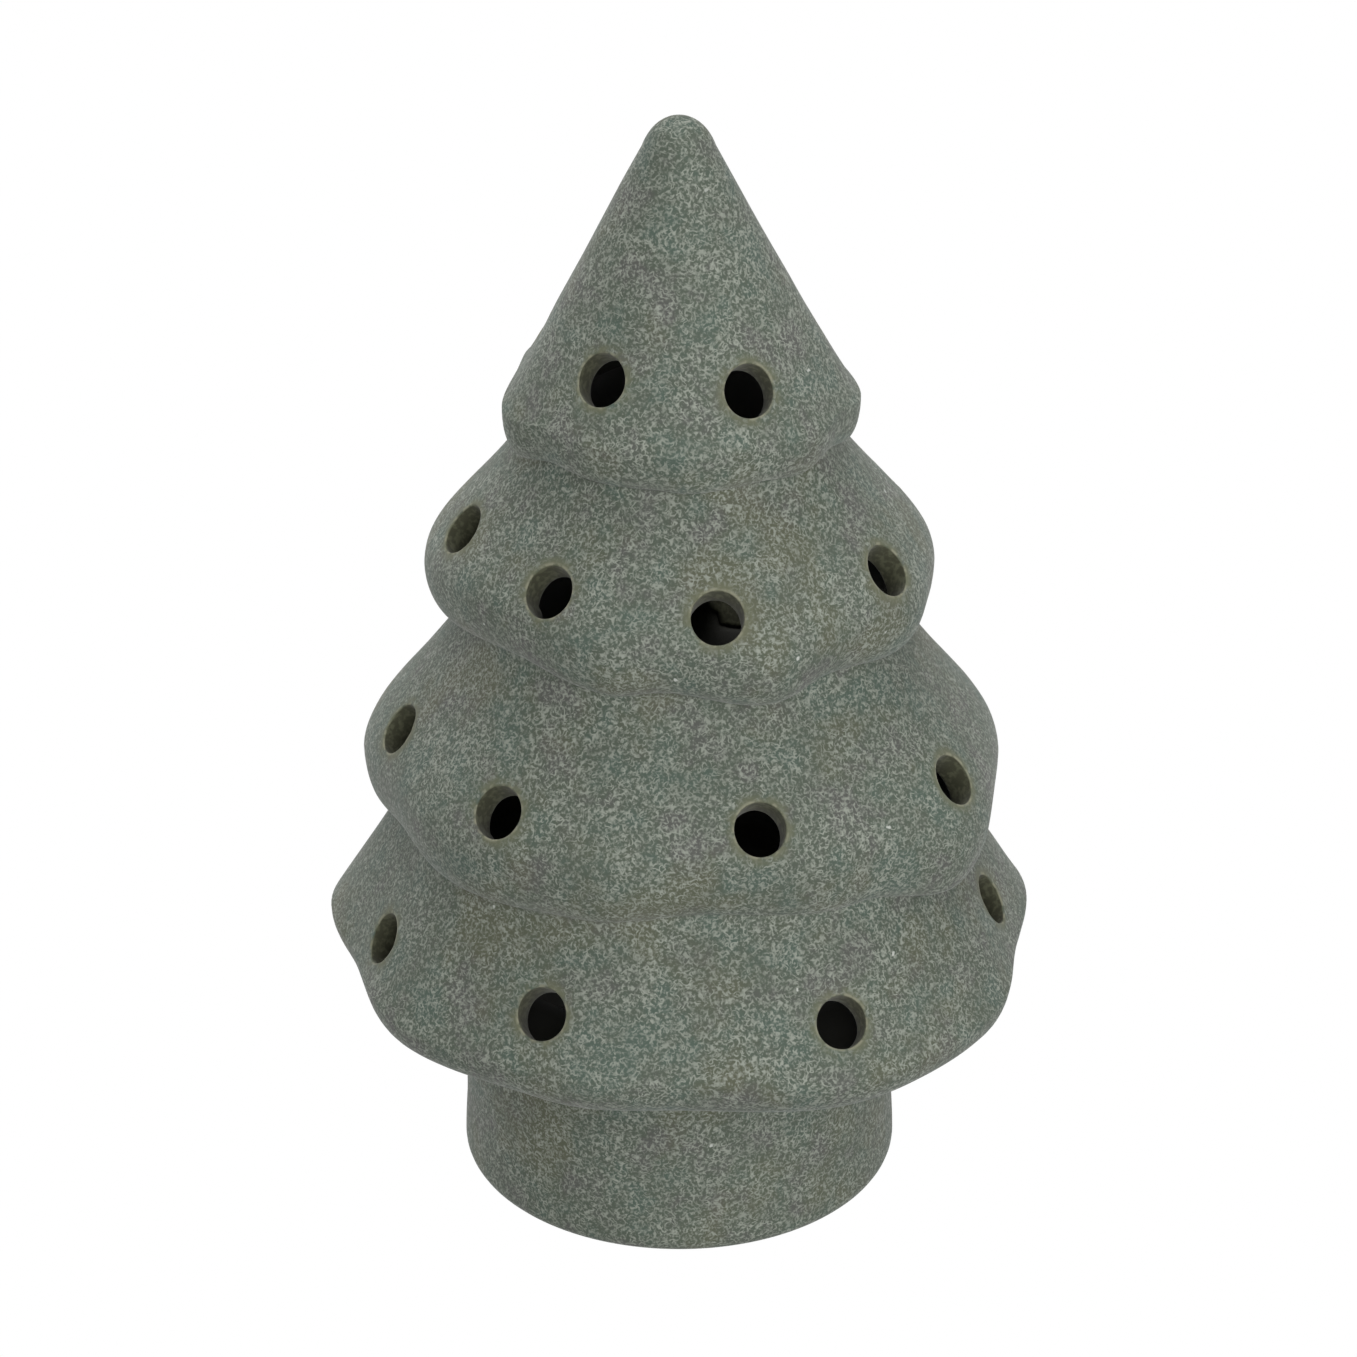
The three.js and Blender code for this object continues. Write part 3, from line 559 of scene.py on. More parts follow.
@dataclass(frozen=True)
class Tier:
    """One soft tier of the tree, in millimetres and in degrees round the tree."""

    widest: float
    widest_at: float
    hem: float
    hem_at: float
    crease: float
    fullness: float
    roll: float
    droop: float
    holes: tuple[Pair, ...]
    swell: tuple[Pair, ...]
    flare: float = 0.0

    def flank(self, neck: Pair) -> list[Vector]:
        """Control points of the flank from the neck to the widest ring.

        Args:
            neck: Radius and height where the flank starts.

        Returns:
            Knot, handle, handle and knot, each as radius and height.
        """
        r, z = neck
        return [
            Vector((r, z)),
            Vector((r + 0.95 * self.fullness * (self.widest - r),
                    z + self.fullness * (self.widest_at - z))),
            Vector((self.widest - self.flare,
                    self.widest_at + self.roll * (z - self.widest_at))),
            Vector((self.widest, self.widest_at)),
        ]

    def rim(self) -> list[Vector]:
        """Control points of the rolled rim from the widest ring to the hem.

        Returns:
            Knot, handle, handle and knot, each as radius and height.
        """
        drop = self.widest_at - self.hem_at
        return [
            Vector((self.widest, self.widest_at)),
            Vector((self.widest, self.widest_at - 0.55 * drop)),
            Vector(((self.widest + self.hem) / 2.0, self.hem_at)),
            Vector((self.hem, self.hem_at)),
        ]

    def swell_at(self, azimuth: float) -> float:
        """How far the hand-shaped rim stands out.

        Args:
            azimuth: Degrees round the tree.

        Returns:
            The swell in millimetres.
        """
        after = next((i for i, mark in enumerate(self.swell) if mark[0] > azimuth), 0)
        start, end = self.swell[after - 1], self.swell[after]
        width = (end[0] - start[0]) % 360.0
        along = ((azimuth - start[0]) % 360.0) / width
        blend = (1.0 - math.cos(math.pi * along)) / 2.0
        return start[1] + (end[1] - start[1]) * blend


@dataclass
class Ring:
    """One ring of the tree's outline, with its tier and its share of that tier's swell."""

    radius: float
    height: float
    tier: int = 0
    share: float = 0.0
    side: Side = Side.OUTER
    ridge: float = 0.0
    soften: float = 0.0


@dataclass(frozen=True)
class Hole:
    """A light hole: the middle of its mouth and the way it points, outwards."""

    mouth: Vector
    out: Vector


TIERS = (
    Tier(
        widest=23.5, widest_at=120.6, hem=21.6, hem_at=114.7, crease=1.6,
        fullness=0.64, roll=0.02, droop=0.75, flare=1.0,
        holes=((-34.7, 0.53), (29.8, 0.56), (106, 0.54), (180, 0.54), (-108, 0.54)),
        swell=(
            (-158, -0.5), (-128, 0.3), (-100, -1.1), (-74, 1.4), (-50, -0.6), (-32, -0.5),
            (-10, -0.7), (4, -0.3), (28, -0.6), (50, 0.2), (66, -0.2), (87, 1.4), (110, -0.6),
            (132, 0.7), (155, -0.5), (178, 0.6),
        ),
    ),
    Tier(
        widest=34.3, widest_at=93.7, hem=30.3, hem_at=86.9, crease=2.2,
        fullness=0.65, roll=0.24, droop=0.75,
        holes=((-79.7, 0.47), (-37, 0.52), (9.8, 0.53), (63.3, 0.55), (115, 0.52), (168, 0.52),
               (-130, 0.52)),
        swell=(
            (-160, 0.6), (-130, -0.9), (-98, 1.1), (-46, -2.6), (-18, -1.5), (-4, -2.4), (24, 0),
            (41, -1.3), (70, 0.9), (81, 0.6), (106, 1.3), (138, -0.8), (170, 0.9),
        ),
    ),
    Tier(
        widest=42.6, widest_at=64, hem=39.9, hem_at=56.5, crease=2.1,
        fullness=0.62, roll=0.22, droop=0.7,
        holes=((-80.6, 0.56), (-39.4, 0.56), (17, 0.55), (64.3, 0.57), (114, 0.56), (168, 0.56),
               (-132, 0.56)),
        swell=(
            (-165, 1.2), (-132, -1.5), (-100, 2), (-70, -1.2), (-52, -0.6), (-20, -1.9), (4, -3.5),
            (38, -1.2), (62, 3.2), (84, 1.8), (108, 2.9), (140, -1), (168, 0.6),
        ),
    ),
    Tier(
        widest=48.5, widest_at=37.3, hem=43.2, hem_at=31.4, crease=2,
        fullness=0.56, roll=0.02, droop=0,
        holes=((-67.9, 0.48), (-25.5, 0.41), (28.8, 0.44), (80.2, 0.44), (136, 0.44),
               (-172, 0.44), (-120, 0.44)),
        swell=(
            (-150, 0.9), (-122, -2.6), (-97, 1), (-75, -1.7), (-54, 0.4), (-30, -1.2),
            (-20, -0.8), (0, -2.2), (34, 2.6), (58, 2.4), (81, -0.5), (102, 1.4), (124, -0.7),
            (152, 1), (178, -1.9),
        ),
    ),
)


@dataclass
class TreeShell:
    """The fired tree: its outline, hand-shaped rims and light holes, in millimetres."""

    tiers: tuple[Tier, ...] = TIERS
    height: float = 160.2
    tip_radius: float = 5.3
    tip_drop: float = 4.5
    wall: float = 4.2
    tip_thickness: float = 10.0
    trunk_radius: float = 30.4
    foot_rounding: float = 2.5
    foot_chamfer: float = 0.8
    trunk_fillet: float = 1.5
    crease_rise: float = 0.6
    hole_radius: float = 3.55
    hole_tilt: float = 0.2
    neck_swell: float = 0.3
    columns: int = 240
    ring_pitch: float = 1.15
    inner_pitch: float = 2.6
    hole_sides: int = 44
    lip: float = 0.26
    inner_lip: float = 0.5
    collar: float = 2.5
    collar_rings: Pair = (1.4, 0.9)
    rim_rings: int = 12
    soft_neck: int = 3
    soft_hem: int = 2
    ridge_at: float = 7.8
    ridge_width: float = 2.6
    upper_ridges: float = 0.6
    crease_passes: int = 4
    unevenness: float = 0.16
    broad_waves: float = 0.062
    fine_waves: float = 0.17
    fine_share: float = 0.45
    inset: float = 0.3
    ragged_lip: float = 0.06
    ragged_waves: float = 0.9
    lip_fade: Pair = (0.45, 0.15)
    depth_fade: Pair = (0.6, 0.2)
    tunnel_fade: Pair = (0.05, 0.25)
    halo_fade: Pair = (1.9, 0.3)
    skin_depth: float = 0.3
    wall_range: Pair = (0.6, 1.4)
    cleared_within: float = 3.6
    outer_band: Pair = (-0.6, 0.6)
    inner_band: Pair = (0.4, 2.2)
    seam_tries: int = 12
    seam_lean: float = 0.12
    seam_turn: float = 2.4
    sharp_over: float = 50.0

    def neck(self, k: int) -> Pair:
        """Find where a tier's flank starts.

        Args:
            k: Number of the tier.

        Returns:
            Its radius and height.
        """
        if k == 0:
            return self.tip_radius, self.height - self.tip_drop
        above = self.tiers[k - 1]
        return above.hem - above.crease, above.hem_at + self.crease_rise

    def flank_share(self, k: int, along: float) -> float:
        """Share of tier k's swell that its flank takes at a place from 0 to 1 down it."""
        neck = self.neck_swell if k else 0.0
        return neck + (1.0 - neck) * (along if k else along ** 1.5)

    def tier_rings(self, k: int) -> list[Ring]:
        """Draw a tier from its neck over the rim to the hem.

        Args:
            k: Number of the tier.

        Returns:
            The rings, downwards.
        """
        tier = self.tiers[k]
        flank = tier.flank(self.neck(k))
        steps = round((flank[0] - flank[3]).length / self.ring_pitch)
        rings = []
        for i, p in enumerate(interpolate_bezier(*flank, steps + 1)):
            share = self.flank_share(k, i / steps)
            rings.append(Ring(p.x, p.y, k, share, soften=float(k > 0 and i < self.soft_neck)))
        height = 1.0 if k == len(self.tiers) - 1 else self.upper_ridges
        firm = self.rim_rings - self.soft_hem
        for i, p in enumerate(interpolate_bezier(*tier.rim(), self.rim_rings + 1)[1:]):
            # The ridge mark places the hem's pale glaze break and painted highlight.
            ridge = math.exp(-(((i - self.ridge_at) / self.ridge_width) ** 2)) * height
            rings.append(Ring(p.x, p.y, k, 1.0, ridge=ridge, soften=float(i >= firm)))
        return rings

    def trunk_rings(self) -> list[Ring]:
        """Draw the trunk from under the last tier to the foot.

        Returns:
            The rings, downwards.
        """
        top = self.tiers[-1].hem_at + self.crease_rise
        fillet, rounding, radius = self.trunk_fillet, self.foot_rounding, self.trunk_radius
        rings = [Ring(radius + reach, top, soften=1.0) for reach in (9.0, 6.0, 3.5)]
        rings += [Ring(radius + fillet * out, top - fillet * down) for out, down in quarter_arc(5)]
        straight = top - fillet - rounding
        steps = round(straight / self.ring_pitch)
        rings += [Ring(radius, rounding + straight * (1.0 - i / steps)) for i in range(1, steps)]
        return rings + [Ring(radius - rounding * back, rounding * up)
                        for up, back in quarter_arc(7)]

    def outer_rings(self) -> list[Ring]:
        """Draw the outside from below the tip's pole to the foot.

        Returns:
            The rings, downwards.
        """
        tip_radius, tip_edge = self.neck(0)
        nose = interpolate_bezier(
            Vector((0.0, self.height)), Vector((0.6 * tip_radius, self.height)),
            Vector((0.88 * tip_radius, tip_edge + 0.41 * self.tip_drop)),
            Vector((tip_radius, tip_edge)), 12)
        rings = [Ring(p.x, p.y) for p in nose[1:-1]]
        for k in range(len(self.tiers)):
            rings += self.tier_rings(k)
        return rings + self.trunk_rings()

    def inner_rings(self) -> list[Ring]:
        """Draw the inside from the foot up to the inner pole.

        Returns:
            The rings, upwards.
        """
        bore = self.trunk_radius - self.wall
        wall, last = self.wall, self.tiers[-1]
        shoulder = last.hem_at + wall + self.crease_rise
        rings = [Ring(bore + self.foot_chamfer, 0.0), Ring(bore, self.foot_chamfer),
                 Ring(bore, shoulder - wall / 2.0), Ring(bore + wall / 2.0, shoulder),
                 Ring(last.hem - 1.1 * wall, last.hem_at + wall, len(self.tiers) - 1, 1.0)]
        for k in reversed(range(len(self.tiers))):
            tier = self.tiers[k]
            r, z = self.neck(k)
            rings.append(Ring(tier.widest - 1.15 * wall, tier.widest_at + wall / 4.0, k, 1.0))
            middle = interpolate_bezier(*tier.flank((r, z)), 3)[1]
            rings.append(Ring(middle.x - 1.2 * wall, middle.y, k, self.flank_share(k, 0.5)))
            if k:
                rings.append(Ring(r - 1.35 * wall, z + wall / 2.0, k, self.neck_swell))
        rings.append(Ring(0.0, self.height - self.tip_thickness))
        return self.filled_in(rings)

    def filled_in(self, rings: Sequence[Ring]) -> list[Ring]:
        """Put rings between those that stand far apart.

        Each new ring takes the tier of the end whose swell it shares.

        Args:
            rings: The corner rings of the inside.

        Returns:
            The corner rings and those between them.
        """
        filled = [rings[0]]
        for start, end in zip(rings, rings[1:]):
            gap = math.hypot(end.radius - start.radius, end.height - start.height)
            count = max(1, round(gap / self.inner_pitch))
            tier = end.tier if end.share > 0.0 else start.tier
            for i in range(1, count + 1):
                t = i / count
                filled.append(Ring(start.radius + (end.radius - start.radius) * t,
                                   start.height + (end.height - start.height) * t,
                                   tier, start.share + (end.share - start.share) * t))
        for ring in filled:
            ring.side = Side.INNER
        return filled

    def spin_wall(self) -> BMesh:
        """Spin the whole outline once round the axis.

        Returns:
            The closed wall, with the marks of its rings.
        """
        bm = bmesh.new()
        tier_mark, inner_mark = add_marks(bm.verts.layers.int, "tier", "inner")
        names = ("share", "ridge", "soften")
        shares = dict(zip(names, add_marks(bm.verts.layers.float, *names)))
        line = []
        for ring in [Ring(0.0, self.height)] + self.outer_rings() + self.inner_rings():
            vert = bm.verts.new(around(ring.radius, ring.height, 0.0))
            for name, layer in shares.items():
                vert[layer] = getattr(ring, name)
            vert[tier_mark] = ring.tier
            vert[inner_mark] = ring.side.value
            line.append(vert)
        spin_line(bm, line, self.columns)
        return bm

    def shape_by_hand(self, bm: BMesh) -> None:
        """Swell the rims, soften the creases and leave the surface a little uneven.

        Args:
            bm: The spun wall.
        """
        share = bm.verts.layers.float["share"]
        soften = bm.verts.layers.float["soften"]
        tier_mark = bm.verts.layers.int["tier"]
        inner = bm.verts.layers.int["inner"]
        for vert in bm.verts:
            if vert[share] > 0.0:
                tier = self.tiers[vert[tier_mark]]
                out = vert[share] * tier.swell_at(azimuth_of(vert.co))
                vert.co += outwards(vert.co) * out
                vert.co.z -= tier.droop * vert[share] * out
        creases = [vert for vert in bm.verts if vert[soften] > 0.0]
        for _ in range(self.crease_passes):
            bmesh.ops.smooth_vert(bm, verts=creases, factor=0.5, use_axis_x=True,
                                  use_axis_y=True, use_axis_z=True)
        foot = self.foot_rounding
        for vert in bm.verts:
            if vert[inner] == Side.OUTER.value and vert.co.z > foot:
                wave = noise.noise(vert.co * self.broad_waves)
                wave += self.fine_share * noise.noise(vert.co * self.fine_waves)
                fade = smooth_step(foot, 4.0 * foot, vert.co.z)
                out = (wave * self.unevenness - self.inset) * fade
                vert.co += outwards(vert.co) * out

    def hole_axis(self, k: int, azimuth: float, t: float) -> Hole:
        """Place a light hole, which leans up a little from square to the flank.

        Args:
            k: Number of the tier.
            azimuth: Degrees round the tree.
            t: Place down the flank from 0 to 1.

        Returns:
            The hole.
        """
        tier = self.tiers[k]
        p0, p1, p2, p3 = tier.flank(self.neck(k))
        u = 1.0 - t
        place = u ** 3 * p0 + 3 * u * u * t * p1 + 3 * u * t * t * p2 + t ** 3 * p3
        along = u * u * (p1 - p0) + 2 * u * t * (p2 - p1) + t * t * (p3 - p2)
        share = self.flank_share(k, t)
        out = share * tier.swell_at(azimuth)
        axis = Vector((-along.y, along.x)) - self.hole_tilt * along
        return Hole(around(place.x + out, place.y - tier.droop * share * out, azimuth),
                    around(axis.x, axis.y, azimuth).normalized())

    def tunnel_steps(self) -> list[tuple[float, float, Side]]:
        """Draw the rings of a hole.

        Returns:
            Radius, depth under its skin and that skin, from outside in.
        """
        r, lip, inner = self.hole_radius, self.lip, self.inner_lip
        steps = [(r + reach, 0.0, Side.OUTER) for reach in (*self.collar_rings, 1.9 * lip)]
        steps += [(r + lip * out, lip * depth, Side.OUTER) for out, depth in quarter_arc(5)]
        steps.append((r, 0.5 * self.wall, Side.OUTER))
        return steps + [(r + inner * out, inner * depth, Side.INNER)
                        for out, depth in reversed(quarter_arc(3))]

    def bore_holes(self, bm: BMesh) -> list[Hole]:
        """Open every light hole with its rounded lips and tunnel.

        Args:
            bm: The shaped wall.

        Returns:
            The holes.
        """
        holes = [self.hole_axis(k, *place)
                 for k, tier in enumerate(self.tiers) for place in tier.holes]
        mouths = KDTree(len(holes))
        for i, hole in enumerate(holes):
            mouths.insert(hole.mouth, i)
        mouths.balance()
        tunnels = self.tunnels(BVHTree.FromBMesh(bm), holes)
        self.clear_discs(bm, holes, mouths)
        bm.from_mesh(tunnels)
        bpy.data.meshes.remove(tunnels)
        inner = bm.verts.layers.int["inner"]
        seams: dict[tuple[int, int], list[BMEdge]] = {}
        for edge in bm.edges:
            if edge.is_boundary:
                start = edge.verts[0]
                seams.setdefault((mouths.find(start.co)[1], start[inner]), []).append(edge)
        for (i, _), edges in seams.items():
            self.close_seam(bm, edges, holes[i].out)
        bmesh.ops.recalc_face_normals(bm, faces=bm.faces)
        return holes

    def close_seam(self, bm: BMesh, edges: Sequence[BMEdge],
                   out: Vector) -> None:
        """Fill the gap between a tunnel's collar and the wall.

        The filler can miss part of a jagged gap, so it looks again from beside the axis, for up to
        seam_tries tries, until the gap is closed.

        Args:
            bm: The wall.
            edges: Both borders of the gap.
            out: Direction of the hole.
        """
        aside = out.orthogonal()
        for i in range(self.seam_tries):
            lean = self.seam_lean * min(i, 1)
            look = out + lean * (Quaternion(out, self.seam_turn * i) @ aside)
            made = bmesh.ops.triangle_fill(bm, use_beauty=True, use_dissolve=False, edges=edges,
                                           normal=look.normalized())["geom"]
            patch = [item for item in made if isinstance(item, BMFace)]
            rims = {edge for face in patch for edge in face.edges}.union(edges)
            if all(edge.is_manifold for edge in rims):
                bmesh.ops.beautify_fill(bm, faces=patch, edges=list(rims.difference(edges)),
                                        method="ANGLE")
                return
            if i < self.seam_tries - 1:
                bmesh.ops.delete(bm, geom=patch, context="FACES")

    def tunnels(self, wall: BVHTree, holes: Sequence[Hole]) -> bpy.types.Mesh:
        """Draw every hole's tunnel from the wall's outer skin to its inner skin.

        Args:
            wall: The uncut wall, for finding its skins.
            holes: The holes.

        Returns:
            The tunnels, as one mesh that is open at both skins.
        """
        tubes = bmesh.new()
        inner, = add_marks(tubes.verts.layers.int, "inner")
        lip, tunnel = add_marks(tubes.verts.layers.float, "lip", "tunnel")
        above, under = 2.0 * self.wall, self.skin_depth
        thinnest, thickest = (share * self.wall for share in self.wall_range)
        for hole in holes:
            turn = hole.out.to_track_quat("Z", "Y").to_matrix().to_4x4()
            place = Matrix.Translation(hole.mouth) @ turn
            back = place.inverted()
            verts = bmesh.ops.create_circle(tubes, segments=self.hole_sides, radius=1.0,
                                            matrix=place)["verts"]
            edges = list({edge for vert in verts for edge in vert.link_edges})
            for i, (radius, depth, side) in enumerate(self.tunnel_steps()):
                if i:
                    made = bmesh.ops.extrude_edge_only(tubes, edges=edges)["geom"]
                    verts = [item for item in made if isinstance(item, BMVert)]
                    edges = [item for item in made if isinstance(item, BMEdge)]
                rim = smooth_step(*self.lip_fade, radius - self.hole_radius)
                for vert in verts:
                    spoke = (back @ vert.co) * Vector((1.0, 1.0, 0.0))
                    ray = place @ (spoke.normalized() * radius)
                    ragged = self.ragged_lip * noise.noise(ray * self.ragged_waves)
                    ragged *= 0.0 < depth < self.lip
                    hit = wall.ray_cast(ray + hole.out * above, -hole.out, 3.0 * above)[0]
                    vert.co = hit - hole.out * (depth + ragged)
                    if side is Side.INNER:
                        through = wall.ray_cast(hit - hole.out * under, -hole.out, 3.0 * above)[3]
                        through = min(max(through + under, thinnest), thickest)
                        vert.co = hit - hole.out * (through - depth)
                    vert[inner] = side.value
                    vert[lip] = rim * smooth_step(*self.depth_fade, depth) * (side is Side.OUTER)
                    # The tunnel mark says where the painted shade in the hole goes.
                    vert[tunnel] = smooth_step(*self.tunnel_fade, depth)
        mesh = bpy.data.meshes.new("tunnels")
        tubes.to_mesh(mesh)
        tubes.free()
        return mesh

    def clear_discs(self, bm: BMesh, holes: Sequence[Hole], mouths: KDTree) -> None:
        """Take both skins of the wall away round every hole.

        Args:
            bm: The wall.
            holes: The holes.
            mouths: Their mouths, for finding the nearest.
        """
        inner = bm.verts.layers.int["inner"]
        reach = self.hole_radius + self.lip + self.collar
        cleared = []
        for face in bm.faces:
            middle = face.calc_center_median()
            _, nearest, distance = mouths.find(middle)
            sides = {vert[inner] for vert in face.verts}
            if distance < self.cleared_within * self.wall and len(sides) == 1:
                offset = holes[nearest].mouth - middle
                depth = offset.dot(holes[nearest].out) / self.wall
                low, high = self.inner_band if sides.pop() else self.outer_band
                if low < depth < high and offset.cross(holes[nearest].out).length < reach:
                    cleared.append(face)
        while cleared:
            bmesh.ops.delete(bm, geom=cleared, context="FACES")
            cleared = [face for face in bm.faces if all(vert.is_boundary for vert in face.verts)
                       or any(sum(edge.is_boundary for edge in vert.link_edges) > 2
                              for vert in face.verts)]

    def mark_glaze(self, bm: BMesh, holes: Sequence[Hole]) -> None:
        """Mark the inside, which is coloured as painted shade, and where the glaze has run smooth
        round the holes.

        Args:
            bm: The finished wall.
            holes: The holes.
        """
        halo, inside = add_marks(bm.verts.layers.float, "halo", "inside")
        inner = bm.verts.layers.int["inner"]
        bm.verts.index_update()
        bm.verts.ensure_lookup_table()
        places = KDTree(len(bm.verts))
        for vert in bm.verts:
            vert[inside] = float(vert[inner])
            places.insert(vert.co, vert.index)
        places.balance()
        for hole in holes:
            for _, i, _ in places.find_range(hole.mouth, 2.0 * self.wall):
                vert = bm.verts[i]
                if not vert[inner]:
                    beyond = (vert.co - hole.mouth).cross(hole.out).length - self.hole_radius
                    vert[halo] = max(vert[halo], smooth_step(*self.halo_fade, beyond))

    def build(self) -> None:
        """Make the tree and tie it to its body."""
        bm = self.spin_wall()
        self.shape_by_hand(bm)
        self.mark_glaze(bm, self.bore_holes(bm))
        for name in ("share", "soften"):
            bm.verts.layers.float.remove(bm.verts.layers.float[name])
        for name in ("tier", "inner"):
            bm.verts.layers.int.remove(bm.verts.layers.int[name])
        piece = finish_piece(bm, "stoneware_tree", StonewareGlaze().make(), self.sharp_over)
        settle(piece, Body.TREE, "tree_shell")


@dataclass(frozen=True)
class Turning:
    """A turned or moulded round piece, drawn as corners with a radius, a height and a fillet."""

    corners: tuple[Triple, ...]
    middle: float = 0.0
    closed: bool = False
    columns: int = 96
    fillet_steps: int = 5
    handle: float = 0.45

    def outline(self) -> list[Vector]:
        """Draw the corners with their fillets.

        Returns:
            Radius and height of its points, in millimetres.
        """
        line: list[Vector] = []
        for i, (r, z, fillet) in enumerate(self.corners):
            corner = Vector((r, z))
            if fillet == 0.0:
                line.append(corner)
                continue
            before = Vector(self.corners[i - 1][:2])
            after = Vector(self.corners[(i + 1) % len(self.corners)][:2])
            start = corner + (before - corner).normalized() * fillet
            end = corner + (after - corner).normalized() * fillet
            line += interpolate_bezier(start, corner.lerp(start, self.handle),
                                       corner.lerp(end, self.handle), end, self.fillet_steps)
        return line

    def shape(self) -> BMesh:
        """Spin the outline.

        Returns:
            The closed shape at its place.
        """
        bm = bmesh.new()
        line = [bm.verts.new((0.0, -p.x, p.y)) for p in self.outline()]
        spin_line(bm, line, self.columns, self.closed)
        bmesh.ops.translate(bm, verts=bm.verts, vec=(self.middle, 0.0, 0.0))
        return bm


@dataclass(frozen=True)
class Dressing:
    """How one node's own shape is finished: what it becomes and how round its edges are."""

    node: str
    name: str
    body: Body
    slot: str
    rounding: float

    def dress(self, material: bpy.types.Material) -> None:
        """Round the node's edges in a copy and let the copy stand for it.

        Args:
            material: The finish.
        """
        bm = bmesh.new()
        bm.from_mesh(bpy.data.objects[self.node].data)
        bmesh.ops.scale(bm, vec=(1.0 / MM, 1.0 / MM, 1.0 / MM), verts=bm.verts)
        bmesh.ops.remove_doubles(bm, verts=bm.verts, dist=WELD)
        bmesh.ops.dissolve_limit(bm, angle_limit=math.radians(FLAT_UNDER), verts=bm.verts,
                                 edges=bm.edges, use_dissolve_boundaries=False)
        sharp = [edge for edge in bm.edges
                 if edge.is_manifold and edge.calc_face_angle() > math.radians(BEVEL_OVER)]
        bmesh.ops.bevel(bm, geom=sharp, offset=self.rounding, offset_type="OFFSET",
                        segments=2, profile=0.5, affect="EDGES", clamp_overlap=True, material=-1)
        piece = finish_piece(bm, self.name, material, SHARP_OVER)
        settle(piece, self.body, self.node)


